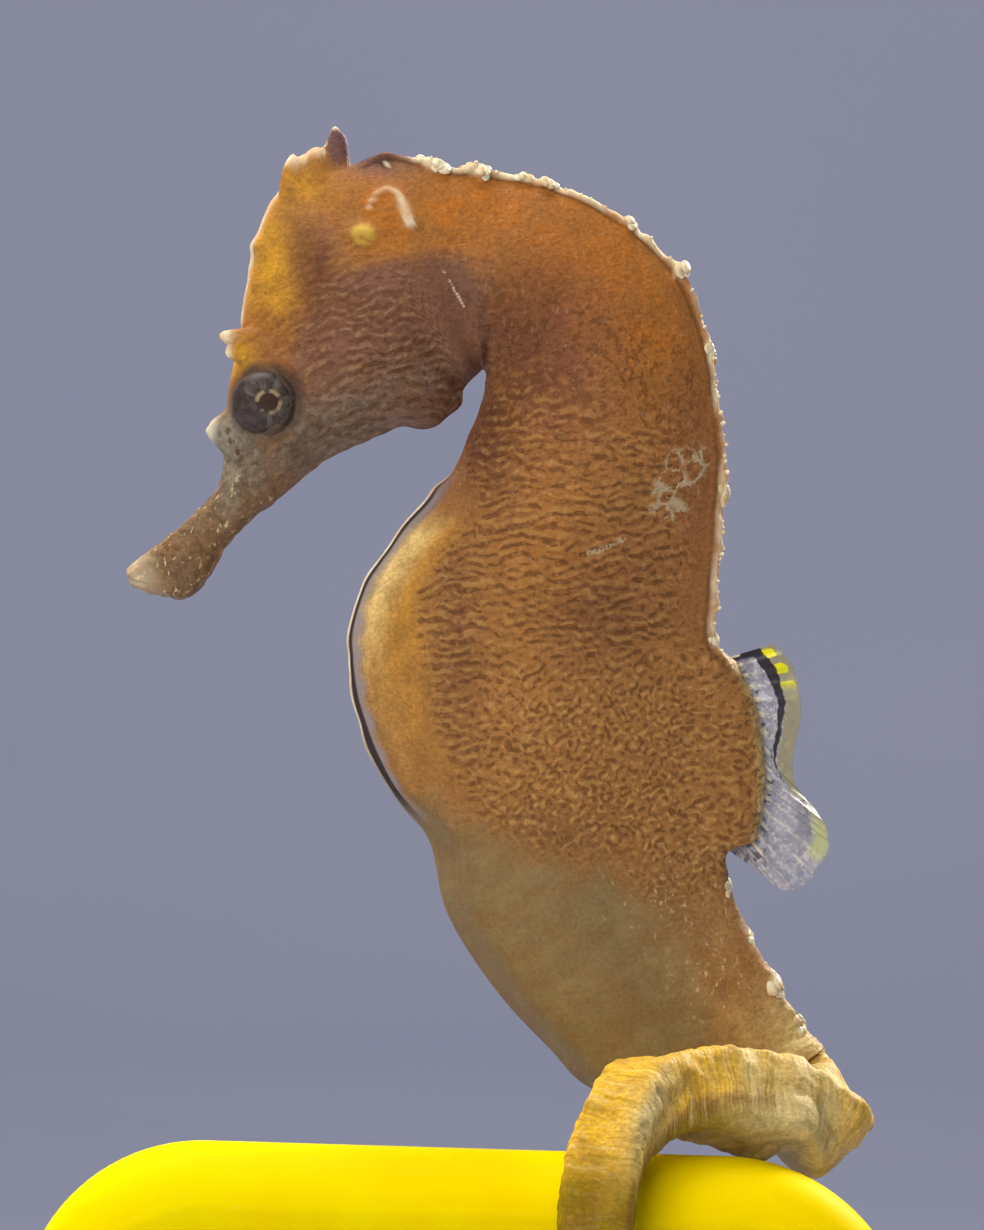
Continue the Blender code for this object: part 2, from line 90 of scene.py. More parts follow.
# Sections of head, trunk and brood pouch, all in the middle plane: name, back
# x and z, belly x and z, half width, outline.
BODY_SECTIONS = (
    ("mouth", -23.6, 70.0, -22.9, 68.6, 1.0, TUBE),
    ("lips", -22.3, 71.2, -21.1, 68.0, 1.7, TUBE),
    ("chin", -21.1, 72.1, -19.0, 68.2, 2.0, TUBE),
    ("snout middle", -18.9, 74.0, -16.6, 71.6, 1.8, TUBE),
    ("snout root", -17.4, 75.7, -14.6, 73.6, 1.9, TUBE),
    ("nose", -17.0, 77.6, -12.3, 75.5, 2.7, HEAD),
    ("cheek front", -16.8, 80.0, -9.9, 77.5, 3.6, HEAD),
    ("eye", -16.6, 82.8, -7.7, 78.6, 4.4, HEAD),
    ("brow", -15.8, 86.3, -5.2, 79.7, 4.7, HEAD),
    ("cheek", -15.1, 90.6, -2.1, 80.0, 5.1, HEAD),
    ("gill cover", -13.6, 95.4, -0.5, 81.4, 5.2, HEAD),
    ("crown", -11.2, 96.7, -0.2, 82.5, 5.0, HEAD),
    ("nape", -7.9, 98.1, 0.4, 83.2, 4.7, NECK),
    ("hump", -5.2, 98.9, 0.9, 83.6, 4.4, NECK),
    ("neck", -0.8, 97.7, 1.2, 83.8, 4.3, NECK),
    ("shoulder", 5.2, 96.9, 1.3, 83.4, 4.6, TRUNK),
    ("throat notch", 11.6, 93.8, 1.2, 82.4, 5.0, TRUNK),
    ("chest", 15.1, 89.9, 1.0, 81.3, 5.3, TRUNK),
    ("breast", 17.1, 84.6, 0.4, 79.6, 5.7, TRUNK),
    ("keel start", 17.9, 77.2, -1.4, 76.0, 6.2, TRUNK),
    ("keel upper", 17.6, 70.5, -5.2, 71.6, 6.6, TRUNK),
    ("belly", 17.3, 65.4, -7.7, 67.2, 6.8, TRUNK),
    ("belly lower", 18.0, 60.0, -7.9, 61.6, 6.7, TRUNK),
    ("keel end", 18.0, 54.6, -5.8, 55.4, 6.3, TRUNK),
    ("vent", 18.1, 50.1, -2.7, 51.4, 6.0, POUCH),
    ("pouch top", 18.9, 46.6, -1.4, 46.0, 6.2, POUCH),
    ("pouch middle", 21.2, 41.8, 1.8, 40.8, 5.9, POUCH),
    ("pouch lower", 22.8, 39.2, 5.6, 36.6, 5.2, POUCH),
    ("pouch end", 23.8, 37.6, 9.6, 33.2, 4.6, POUCH),
    ("tail root", 24.9, 36.7, 18.2, 31.9, 3.9, TAIL),
)
NAMES = [row[0] for row in BODY_SECTIONS]

# The tail's turn toward -Y: centre, direction of the back, half thickness.
TAIL_TURN = (
    ((23.1, 5.4, 32.8), (0.80, 0.0, 0.60), 3.5),
    ((24.3, 3.0, 31.8), (0.83, 0.05, 0.55), 3.35),
    ((24.1, -0.2, 31.9), (0.60, 0.0, 0.80), 3.2),
)
# Its coil round the bar: x, angle round the bar from the top toward -Y
# (degrees), distance from the bar's axis, half thickness, lean of the back.
TAIL_COIL = (
    (21.6, -22, 8.1, 3.0, -8), (18.0, -11, 8.4, 2.9, -16), (14.9, 1, 8.4, 2.85, -20),
    (12.0, 18, 8.4, 2.85, -16), (10.0, 42, 8.1, 2.8, -8), (9.1, 68, 7.6, 2.75, -3),
    (8.7, 94, 7.3, 2.65, 0), (8.4, 130, 7.0, 2.45, 0), (8.2, 180, 6.7, 2.15, 0),
    (8.3, 232, 6.3, 1.7, 0), (8.7, 280, 5.8, 1.25, 0), (9.1, 320, 5.3, 0.75, 0),
)
COIL_STEPS = 36
TRUNK_RINGS = 11  # bony rings of the trunk; those of the tail shrink toward its tip
TAIL_RING_PITCH = 1.75
TAIL_RING_SHRINK = 0.985
FLESH_NODES = ("snout", "head", "coronet", "neck", "trunk_upper", "trunk_lower", "brood_pouch",
               "tail_base", "tail_bend", "tail_arch", "tail_front", "tail_under", "tail_tip")

# Head features (mm, in the middle plane unless a distance out is given).
EYE_CENTRE = (-14.1, 81.5)
EYE_RADIUS = 2.2
EYE_DEPTH = 1.35
EYE_OUT = 2.85
# The swelling that carries the coronet: its middle, where it begins, its lean and its rise.
CORONET_X = -11.0
CORONET_FOOT_Z = 93.0
CORONET_LEAN = 0.2
CORONET_RISE = 1.6
# Spines: root, tip, distance out, reach, half thickness, bluntness, pale length.
SPINES = (
    ((-16.7, 79.55), (-18.2, 79.65), 0.0, 1.8, 1.3, 1.5, 0.8),
    ((-15.0, 86.05), (-17.1, 86.15), 1.8, 0.75, 0.7, 3.6, 1.0),
    ((-15.4, 85.2), (-16.8, 85.3), 1.8, 1.1, 0.8, 2.8, 0.5),
    ((-12.35, 97.1), (-12.45, 98.95), 0.9, 0.9, 0.85, 4.0, 0.9),
    ((-11.6, 97.4), (-11.6, 98.5), 0.9, 0.9, 0.75, 4.0, 0.7),
    ((-10.75, 98.4), (-10.75, 99.55), 0.9, 1.2, 0.85, 4.0, 0.7),
    ((-9.9, 98.0), (-9.9, 98.8), 0.5, 0.8, 0.8, 4.0, 0.05),
    ((-9.1, 97.9), (-8.85, 100.5), 0.0, 1.0, 0.85, 4.0, 0.25),
)
JAW_SLIT = ((-24.2, 69.6), (-23.2, 69.0), (-22.3, 68.9))
NOSTRILS = ((-16.1, 80.5, 0.17), (-16.0, 79.7, 0.13))  # x, z and size
GILL_ARCH = ((-6.8, 94.4), (-6.6, 95.3), (-5.9, 96.1), (-5.0, 96.1), (-4.4, 95.2), (-3.9, 93.8))
GILL_KNOB = (-7.1, 93.0)
# Painted highlight on the hump: a cream speck with a dark ring round it.
HUMP_HIGHLIGHT = (-5.6, 98.1)
SCRATCH = ((8.4, 71.0), (9.6, 71.3), (11.2, 72.1))
CHEEK = (-4.5, 86.0)  # the middle of the dark cheek, and how far it reaches by direction
CHEEK_REACH = ((-180, 7.4), (-150, 9.0), (-120, 8.0), (-60, 6.5), (0, 6.4), (45, 7.0), (90, 5.5),
               (120, 5.6), (150, 6.6), (180, 7.4))
CHEEK_ARCS = (-2.5, 66.6)  # the centre that the lines of the cheek arch round
ROW_PITCH = 0.75  # mm between the rows of marks on cheek and trunk
PLEAT_PITCH = 0.38  # mm between the fine pleats of the tail
WEB_SCALE = 0.95  # cells of the rows for each mm; the finer web makes the maze
FINE_WEB_SCALE = 1.25
FINE_WEB_FREQUENCY = 1.21
# Knobs on the ridges of the back: x, z, size and height.
KNOTS = (
    (-2.4, 98.0, 1.5, 0.5), (0.75, 97.5, 1.4, 0.65), (3.9, 97.4, 0.6, 0.3), (5.7, 96.8, 0.8, 0.5),
    (11.3, 93.9, 0.8, 0.5), (14.5, 90.4, 0.75, 0.35), (16.4, 87.0, 0.5, 0.2), (17.1, 85.0, 0.8, 0.5),
    (17.9, 79.7, 0.5, 0.2), (17.9, 75.2, 0.9, 0.4), (17.6, 71.3, 0.5, 0.15), (17.2, 67.4, 0.7, 0.25),
    (17.4, 64.9, 0.7, 0.3), (19.1, 47.8, 0.95, 0.6), (20.4, 44.4, 0.9, 0.5), (21.7, 41.2, 1.3, 0.6),
    (23.9, 38.3, 1.0, 0.5),
)

# Dorsal fin in the middle plane, from its front lobe round to its rear lobe.
FIN_ROOT = ((17.9, 63.6), (19.4, 57.0), (17.9, 50.6))
FIN_EDGE = (
    (21.6, 64.7), (23.0, 62.8), (23.4, 59.6), (22.9, 55.4),
    (24.7, 52.7), (25.4, 50.8), (24.2, 48.3), (22.4, 47.4), (20.4, 48.7),
)
FIN_PLATFORM = ((18.7, 63.8), (20.3, 60.2), (20.9, 55.2), (20.3, 50.9))
FIN_PLATFORM_HALF = 1.2
COLUMNS_EACH_RAY = 6
FIN_ROWS = 34

# Pectoral fins.
PECTORAL_ROOT_LINE = ((-1.9, 90.9), (-0.2, 88.0))
PECTORAL_LENGTH = 3.4
PECTORAL_SPREAD = 42.0
PECTORAL_FLARE = 10.0

# How finely the skin is divided.
AROUND = 160  # points round the head and trunk; the tail has half as many
FINE_STEP = 0.18  # mm between rings on the head
BROAD_STEP = 0.38
TAIL_STEP = 0.32
RING_SAMPLES = 8000  # samples that place the rings, and that measure the body's length
RUN_SAMPLES = 4000
LINE_STEPS = 60  # steps along a short drawn line, and along the fin's platform
EDGE_STEPS = 80


# ---------------------------------------------------------------- shapes


def spline(rows, places):
    """Catmull-Rom values of an array of rows at fractional row numbers."""
    rows = np.asarray(rows, float)
    places = np.asarray(places, float)
    k = np.clip(places.astype(int), 0, len(rows) - 2)
    ends = np.concatenate([[2 * rows[0] - rows[1]], rows, [2 * rows[-1] - rows[-2]]])
    a, b, c, d = (ends[k + n] for n in range(4))
    t = (places - k).reshape(places.shape + (1,) * (rows.ndim - 1))
    return b + 0.5 * t * (c - a + t * (2 * a - 5 * b + 4 * c - d + t * (3 * (b - c) + d - a)))


def wave(turns):
    """1 at every whole number of turns, and 0 half way between."""
    return 0.5 + 0.5 * np.cos(2 * np.pi * turns)


def unit(vector):
    return vector / np.linalg.norm(vector)


def circle(count):
    """Even angles once round."""
    return np.linspace(0, 2 * math.pi, count, endpoint=False)


def ease(low, high, value):
    """Smooth step from 0 at low to 1 at high; low may be the larger."""
    t = np.clip((value - low) / (high - low), 0, 1)
    return t * t * (3 - 2 * t)


def most(*values):
    return reduce(np.maximum, values)


def hill(value, centre, width):
    return np.exp(-((value - centre) / width) ** 2)


def blob(x, z, centre_x, centre_z, radius_x, radius_z, tilt=0.0):
    """Soft elliptic patch in the middle plane, its long axis tilted in degrees."""
    turn = math.radians(tilt)
    dx, dz = x - centre_x, z - centre_z
    along = (dx * math.cos(turn) + dz * math.sin(turn)) / radius_x
    across = (dz * math.cos(turn) - dx * math.sin(turn)) / radius_z
    return np.exp(-(along ** 2 + across ** 2))


def lattice(cell, seed):
    """Pseudo-random values between -1 and 1 at whole-number places."""
    n = (cell[..., 0] * 374761393 + cell[..., 1] * 668265263
         + cell[..., 2] * 2147483647 + seed * 1274126177) & 0xFFFFFFFF
    n = ((n ^ (n >> 13)) * 1274126177) & 0xFFFFFFFF
    return (n ^ (n >> 16)) / 2.0 ** 31 - 1


def rough(points, size, seed):
    """Smooth noise between -1 and 1 whose lumps are about size mm across."""
    cell = np.asarray(points, float) / size
    base = np.floor(cell).astype(np.int64)
    f = cell - base
    f = f * f * (3 - 2 * f)
    total = 0.0
    for corner in np.ndindex(2, 2, 2):
        weight = np.prod(np.where(corner, f, 1 - f), axis=-1)
        total = total + weight * lattice(base + np.array(corner), seed)
    return total


def distance_to_line(x, z, line):
    """Distance from points to a smooth line in the middle plane, and how far along it."""
    path = spline(line, np.linspace(0, len(line) - 1, LINE_STEPS))
    gaps = np.hypot(x[:, None] - path[:, 0], z[:, None] - path[:, 1])
    return gaps.min(axis=1), gaps.argmin(axis=1) / (LINE_STEPS - 1)


def tail_rows():
    """Centre, direction of the back and half thickness along the free tail."""
    rows = [(np.array(c), np.array(back), half) for c, back, half in TAIL_TURN]
    for k in range(COIL_STEPS + 1):
        x, turn, reach, half, lean = spline(TAIL_COIL, k / COIL_STEPS * (len(TAIL_COIL) - 1))
        turn = math.radians(turn)
        back = turn + math.radians(lean)
        centre = (x, BAR_Y - reach * math.sin(turn), BAR_Z - BAR_SLOPE * x + reach * math.cos(turn))
        rows.append((np.array(centre), np.array((0, -math.sin(back), math.cos(back))), half))
    return rows


def all_sections():
    """Back point, belly point, half-width vector and outline of each section."""
    table = []
    for _, back_x, back_z, belly_x, belly_z, half, outline in BODY_SECTIONS:
        table.append(np.concatenate([
            (back_x, BODY_Y, back_z), (belly_x, BODY_Y, belly_z), (0, -half, 0),
            np.ravel(outline)]))
    rows = tail_rows()
    centres = [(table[-1][:3] + table[-1][3:6]) / 2] + [row[0] for row in rows]
    for k, (centre, back, half) in enumerate(rows):
        ahead = centres[min(k + 2, len(centres) - 1)]
        along = unit(ahead - centres[k])
        back = unit(back - along * np.dot(back, along))
        side = np.cross(along, back)
        table.append(np.concatenate([
            centre + half * back, centre - half * back, half * side, np.ravel(TAIL)]))
    return np.array(table)


TABLE = all_sections()
LAST = len(TABLE) - 1
TAIL_START = NAMES.index("tail root") + 1.0


def at(name):
    """Number of a named body section."""
    return float(NAMES.index(name))


def ring_places():
    """Section numbers of the skin's rings, closest together on the head."""
    fine = np.linspace(0, LAST, RING_SAMPLES)
    rows = spline(TABLE, fine)
    travel = np.maximum(*(np.linalg.norm(np.diff(rows[:, k:k + 3], axis=0), axis=1) for k in (0, 3)))
    step = np.interp(fine[1:], (at("crown"), at("neck"), at("pouch end"), TAIL_START),
                     (FINE_STEP, BROAD_STEP, BROAD_STEP, TAIL_STEP))
    count = np.concatenate([[0], np.cumsum(travel / step)])
    return np.interp(np.arange(int(count[-1]) + 1), count, fine)


def middle_run():
    """Length of the middle line up to each of many even section numbers (mm)."""
    rows = spline(TABLE, np.linspace(0, LAST, RUN_SAMPLES))
    middles = (rows[:, :3] + rows[:, 3:6]) / 2
    return np.concatenate([[0], np.cumsum(np.linalg.norm(np.diff(middles, axis=0), axis=1))])


RUN = middle_run()


def length_at(place):
    """Length of the middle line from the mouth to a section number (mm)."""
    return np.interp(place, np.linspace(0, LAST, RUN_SAMPLES), RUN)


def outward(place, inner):
    """Direction out of the body at one of its ends."""
    here, there = spline(TABLE, float(place)), spline(TABLE, float(inner))
    return unit(here[:3] + here[3:6] - there[:3] - there[3:6])


def smooth(mesh):
    mesh.polygons.foreach_set("use_smooth", [True] * len(mesh.polygons))
    return mesh


def filled(mesh, bm):
    """Moves the working mesh into the lasting one."""
    bm.to_mesh(mesh)
    bm.free()
    return smooth(mesh)


def new_mesh(name, points, faces, unwrap):
    """Smooth mesh from points in mm, with its own unwrap for baking."""
    mesh = bpy.data.meshes.new(name)
    mesh.from_pydata([tuple(q) for q in np.asarray(points) * MM], [], faces)
    mesh.uv_layers.new(name="OFBake").uv.foreach_set("vector", np.ravel(unwrap))
    return smooth(mesh)


# Rings that close the ends: size, and push outward in half depths.
LIP_RINGS = ((0.16, -0.9), (0.3, -0.45), (0.36, 0.0), (0.42, 0.3), (0.5, 0.46), (0.62, 0.5),
             (0.78, 0.42), (0.9, 0.27), (0.97, 0.12))
TIP_RINGS = ((0.92, 0.25), (0.7, 0.5), (0.36, 0.66))


class Flesh:
    """Every point of the skin with its place on the body, before any detail.

    place is the section number, turn runs from 0 at the back to 6 at the
    belly, v is the height in half depths, depth is the half depth in mm,
    length is the way along the middle line from the mouth in mm, and run is
    the back's x less the way round the ring in mm."""

    def __init__(self):
        whole = [(p, AROUND if p < TAIL_START else AROUND // 2, 1.0, 0.0) for p in ring_places()]
        rows = ([(0.0, AROUND, scale, push) for scale, push in LIP_RINGS] + whole
                + [(float(LAST), AROUND // 2, scale, push) for scale, push in TIP_RINGS])
        mouth, tip = outward(0, 0.3), outward(LAST, LAST - 0.3)
        points = []
        columns = {name: [] for name in ("place", "turn", "v", "depth", "length", "run")}
        for place, count, scale, push in rows:
            row = spline(TABLE, place)
            back, belly, side, outline = row[:3], row[3:6], row[6:9], row[9:].reshape(-1, 2)
            step, half = np.arange(count), count // 2
            turn = 6 * np.where(step <= half, step, count - step) / half
            u, v = spline(outline, turn).T
            u = np.where(step % half == 0, 0.0, np.maximum(u, 0.0)) * np.where(step < half, 1, -1)
            centre, up = (back + belly) / 2, (back - belly) / 2
            depth = np.linalg.norm(up)
            shift = (mouth if place == 0 else tip) * push * depth
            ring = centre + shift + scale * (v[:, None] * up + u[:, None] * side)
            points.append(ring)
            steps = np.linalg.norm(np.diff(ring[:half + 1], axis=0), axis=1)
            girth = np.concatenate([[0], np.cumsum(steps)])
            girth = np.concatenate([girth, girth[half - 1:0:-1]])
            for name, value in (("place", place), ("turn", turn), ("v", v), ("depth", depth),
                                ("length", length_at(place)), ("run", ring[0, 0] - girth)):
                columns[name].append(np.broadcast_to(value, (count,)))
        self.counts = [len(ring) for ring in points]
        self.points = np.concatenate(points)
        for name, parts in columns.items():
            setattr(self, name, np.concatenate(parts).astype(float))

    def between(self, start, end):
        """Smooth step from 0 at one named section to 1 at another."""
        return ease(at(start), at(end), self.place)

    def corners(self):
        """Ring and column of each corner of the faces between rings and over the ends."""
        faces = []
        for r, (here, there) in enumerate(zip(self.counts, self.counts[1:])):
            if here == there:
                faces += [((r, k), (r, k + 1), (r + 1, k + 1), (r + 1, k)) for k in range(here)]
                continue
            for k in range(there):
                faces += [((r, 2 * k), (r, 2 * k + 1), (r + 1, k)),
                          ((r, 2 * k + 1), (r + 1, k + 1), (r + 1, k)),
                          ((r, 2 * k + 1), (r, 2 * k + 2), (r + 1, k + 1))]
        return faces

    def mesh(self, name):
        """Closed mesh of the skin, with its own unwrap for baking in three strips."""
        starts = np.concatenate([[0], np.cumsum(self.counts)])
        last = len(self.counts) - 1
        faces, unwrap = [], []
        for face in self.corners():
            faces.append([int(starts[r] + k % self.counts[r]) for r, k in face])
            strip = min(int(3 * starts[face[0][0]] / starts[-1]), 2)
            unwrap += [(min(3 * starts[r] / starts[-1] - strip, 1),
                        (strip + 0.02 + 0.96 * k / self.counts[r]) / 3) for r, k in face]
        points = list(self.points)
        for r, turn_over in ((0, True), (last, False)):
            middle = len(points)
            points.append(self.points[starts[r]:starts[r + 1]].mean(axis=0))
            for k in range(self.counts[r]):
                pair = [int(starts[r] + k), int(starts[r] + (k + 1) % self.counts[r])]
                faces.append((pair[::-1] if turn_over else pair) + [middle])
                unwrap += [(r / last, 0.002 * (c + 1)) for c in range(3)]
        return new_mesh(name, points, faces, unwrap)


# -------------------------------------------------- the skin's own relief


def lobe(q, power):
    """Blunt rise: 1 at q = 0, falling to 0 at q = 1."""
    return np.clip(1 - np.clip(q, 0, 1) ** power, 0, 1) ** 1.5


def drawn_out(points, root, tip, reach, thin, power):
    """Share of a spine's length that each point is drawn out by."""
    root = np.array(root)
    ahead = unit(np.array(tip) - root)
    away = points - root
    along = away @ ahead
    away = away - along[:, None] * ahead
    flat = np.hypot(away[:, 0], away[:, 2]) / reach
    return lobe(np.hypot(away[:, 1] / thin, flat), power) * (np.abs(along) < 1.6)


def in_plane(point, out=0.0):
    """Point of the middle plane, moved out toward the animal's left side."""
    return (point[0], BODY_Y - out, point[1])


def rings_passed(flesh):
    """Number of bony rings passed, counted from the nape."""
    rings = list(np.linspace(length_at(at("nape")), length_at(at("vent")), TRUNK_RINGS + 1))
    pitch = TAIL_RING_PITCH
    while rings[-1] < RUN[-1] - 0.5:
        rings.append(rings[-1] + pitch)
        pitch *= TAIL_RING_SHRINK
    return np.interp(flesh.length, rings, np.arange(len(rings)))


def platform_edge(z):
    """How far back (x) the platform of the dorsal fin reaches at height z."""
    edge = spline(FIN_PLATFORM, np.linspace(0, len(FIN_PLATFORM) - 1, EDGE_STEPS))
    return np.interp(-z, -edge[:, 1], edge[:, 0])


def skin_relief(flesh, normals):
    """Moves the skin's points from the plain body to the finished surface.

    Returns the new points and the masks that belong to single features."""
    p, t, place = flesh.points, flesh.turn, flesh.place
    x, z = p[:, 0], p[:, 2]
    on_head = place < at("nape") + 0.5
    on_trunk = flesh.between("nape", "neck") * ease(at("vent") + 1, at("vent"), place)
    on_tail = flesh.between("vent", "pouch lower")
    on_coil = ease(at("pouch end"), TAIL_START + 1, place)
    width = np.abs(p[:, 1] - BODY_Y)
    side = np.sign(BODY_Y - p[:, 1])
    height = np.zeros(len(p))

    # Bony rings, strongest near the ridges and on the coil.
    ring = wave(rings_passed(flesh)) ** 2
    ridges = hill(t, 1.0, 0.5) + hill(t, 5.0, 0.55) * on_tail + 0.3 * hill(t, 3.0, 0.7)
    on_back = ease(3.4, 2.4, t)
    height += ring * (0.04 + 0.1 * ridges) * on_trunk
    tail_ring = (0.06 + 0.12 * ridges) * (1 - 0.4 * on_coil) * (1 - 0.8 * on_coil * ease(4.2, 5.0, t))
    height += (ring * tail_ring * on_tail * np.maximum(on_coil, 0.6 * on_back)
               * (0.7 + 0.5 * rough(p, 2.0, 28)))
    # Granules of the coil and the tail, and the swell and the hollow of the coil.
    grit = rough(p, 1.0, 3) + 0.7 * rough(p, 0.5, 4)
    height += on_coil * (0.10 + 0.06 * ease(4.0, 3.0, t)) * grit
    height += on_coil * ease(4.0, 5.2, t) * 0.75 * hill(x, 19.2, 3.0)
    height -= on_coil * ease(3.2, 1.8, t) * 0.55 * blob(x, z, 8.2, 33.9, 2.2, 2.4)
    height += on_tail * on_back * (1 - on_coil) * (0.16 * rough(p, 1.3, 29) + 0.10 * rough(p, 0.6, 6))
    height += 0.10 * rough(p, 3.2, 23) * on_trunk

    # Thin frills of skin that stand along the ridges of the back.
    crest = ease(at("nape") - 0.3, at("hump"), place) * flesh.between("vent", "keel end")
    crest = crest * np.where(x > 12, ease(61.0, 65.0, z), 1.0)
    wander = 1.0 + 0.05 * rough(p, 1.6, 8)
    fold = hill(t, wander, 0.07) * crest
    frill = 0.36 + 0.22 * rough(p, 1.5, 5) + 0.30 * rough(p, 0.6, 6)
    height += fold * np.maximum(frill, 0.03)
    height -= hill(t, 1.25, 0.10) * crest * 0.05

    # Knobs on those ridges.
    knots = np.zeros(len(p))
    for knot_x, knot_z, size, rise in KNOTS:
        away = np.hypot(x - knot_x - 0.15 * side, z - knot_z - 0.1 * side)
        one = lobe(away / size, 2.0) * hill(t, 1.0, 0.24) * (width > 0.8) * (place > at("crown"))
        height += one * rise
        knots = np.maximum(knots, one)

    # Edge of the keel, thin and gently scalloped.
    keel = ease(at("keel start") - 0.3, at("keel start") + 0.4, place) * ease(
        at("vent") + 0.1, at("vent") - 0.4, place)
    scallop = wave((z - 53.2) / 4.1)
    height += hill(t, 6.0, 0.16) * keel * (0.16 + 0.12 * scallop + 0.05 * rough(p, 0.8, 24))
    height -= hill(t, 5.62, 0.16) * keel * 0.10
    height += hill(t, 6.0, 0.35) * hill(place, at("keel start") + 0.15, 0.16) * 0.35

    # Jaw and throat: small scallops along the lower edge.
    jaw = flesh.between("nose", "cheek front") * flesh.between("nape", "gill cover")
    height += hill(t, 6.0, 0.5) * jaw * (0.16 * rough(p, 1.5, 11) + 0.08 * rough(p, 0.7, 12))

    # Snout: low rough grain, a lip round the mouth and a slit for the jaw.
    snout = flesh.between("nose", "snout root")
    height += snout * (0.11 * rough(p, 0.8, 13) + 0.06 * rough(p, 0.4, 14))
    slit, along_slit = distance_to_line(x, z, JAW_SLIT)
    slit_cut = hill(slit, 0, 0.16) * ease(1.0, 0.75, along_slit) * ease(0.5, 0.9, width)
    height -= 0.2 * slit_cut * (place < at("chin"))
    height += 0.12 * hill(place, 0.35, 0.3)

    # Eye: a cup that the eyeball sits in, its margin and two soft folds.
    eye = np.hypot(x - EYE_CENTRE[0], z - EYE_CENTRE[1])
    by_eye = on_head & (width > 1.2)
    eye = eye + 0.16 * rough(p, 0.9, 35)
    cup = ease(EYE_RADIUS - 0.36, EYE_RADIUS - 0.60, eye) * by_eye
    folds = 0.10 * hill(eye, EYE_RADIUS + 0.55, 0.22) + 0.12 * hill(eye, EYE_RADIUS + 1.15, 0.3)
    height += folds * by_eye * (1 + 0.6 * rough(p, 0.8, 15))
    # Nostrils in front of the eye.
    for nose_x, nose_z, size in NOSTRILS:
        near = np.hypot(x - nose_x, z - nose_z)
        height += by_eye * (0.08 * hill(near, size + 0.12, 0.1) - 0.2 * hill(near, 0, size))

    # Gill opening: a hooked hood behind the head, with a knob below it.
    arch, along_arch = distance_to_line(x, z, GILL_ARCH)
    by_gill = (width > 2.0) & (place > at("cheek")) & (place < at("neck"))
    gill = hill(arch, 0, 0.24 + 0.26 * ease(0.4, 0.9, along_arch))
    gill = gill * ease(0.0, 0.1, along_arch) * by_gill
    knob = blob(x, z, *GILL_KNOB, 0.95, 0.8) * by_gill
    hood = blob(x, z, -5.5, 94.6, 1.1, 1.5) * by_gill
    crease = hill(z + 0.12 * np.cos(3 * x), GILL_KNOB[1] - 0.4, 0.14) * knob
    height += 0.36 * gill * (0.6 + 0.5 * along_arch) + 0.75 * knob + 0.2 * hood - 0.35 * crease
    # Plates of the gill cover: soft creases that arch over it.
    cover = blob(x, z, -6.2, 86.4, 5.4, 5.0) * by_eye
    arc = np.hypot(x - CHEEK_ARCS[0], z - CHEEK_ARCS[1])
    creases = np.cos(2 * np.pi * (arc / ROW_PITCH + 0.35 * rough(p, 2.2, 16)))
    height += cover * 0.045 * creases * (0.6 + 0.6 * rough(p, 1.4, 25))
    height += 0.05 * rough(p, 2.6, 17) * on_head

    # Brow and temple, which give the head its planes.
    height -= 0.38 * blob(x, z, -12.2, 88.2, 1.7, 4.0) * on_head * ease(0.6, 1.6, t)
    height += 0.28 * blob(x, z, -9.5, 91.6, 2.0, 3.5) * on_head * ease(1.0, 2.0, t)
    height += 0.3 * blob(x, z, -14.7, 92.5, 0.6, 0.6) * on_head * ease(0.8, 0.2, t)
    brow_ridge = ease(86.4, 87.4, z) * ease(98.2, 96.5, z) * on_head
    height += brow_ridge * hill(t, 0, 0.2) * (0.2 + 0.08 * rough(p, 1.0, 36))

    moved = p + normals * height[:, None]
    # The skin dips round the eye and climbs a little way on to it.
    climb = np.sqrt(np.clip(1 - (eye / (EYE_RADIUS + 0.14)) ** 2, 0, 1))
    margin = EYE_OUT + EYE_DEPTH * climb + 0.02 + 0.05 * rough(p, 0.5, 27)
    hug = ease(EYE_RADIUS + 1.1, EYE_RADIUS + 0.05, eye) * by_eye
    held = BODY_Y - side * np.minimum(np.abs(moved[:, 1] - BODY_Y), margin)
    moved[:, 1] += (held - moved[:, 1]) * hug
    level = 1.55 + 0.25 * ease(0, EYE_RADIUS, eye)
    cup_floor = BODY_Y - side * np.minimum(np.abs(moved[:, 1] - BODY_Y), level)
    moved[:, 1] += (cup_floor - moved[:, 1]) * cup

    # The swelling that carries the coronet, then every spine of the head.
    mound = np.clip(1 - np.hypot((moved[:, 0] - CORONET_X) / 2.5,
                                 (moved[:, 1] - BODY_Y) / 2.0), 0, 1)
    mound = ease(0, 0.75, mound) * (moved[:, 2] > CORONET_FOOT_Z) * on_head
    moved[:, 0] += mound * CORONET_LEAN
    moved[:, 2] += mound * CORONET_RISE
    shift, best = np.zeros_like(p), np.zeros(len(p))
    pale, spike_painted_shade = np.zeros(len(p)), np.zeros(len(p))
    for root, tip, out, reach, thin, power, rim in SPINES:
        for sign in (1, -1) if out else (1,):
            ends = in_plane(root, sign * out), in_plane(tip, sign * out)
            long = math.dist(*ends)
            share = drawn_out(moved, *ends, reach, thin, power) * on_head
            share *= 1 + 0.10 * rough(p, 0.6, 26)
            shift = np.where((share * long > best)[:, None],
                             share[:, None] * np.subtract(ends[1], ends[0]), shift)
            best = np.maximum(best, share * long)
            drawn = moved + share[:, None] * np.subtract(ends[1], ends[0])
            short = (drawn - ends[1]) @ np.subtract(ends[1], ends[0]) / long
            short -= short[share > 0.7].max(initial=-long)
            pale = np.maximum(pale, ease(-1.3 * rim, -0.35 * rim, short) * (share > 0.05))
            # The tallest spine is kept as a mask for the painted shade laid on it.
            if long > 2.3:
                spike_painted_shade = np.maximum(spike_painted_shade, ease(0.05, 0.4, share))
    moved += shift

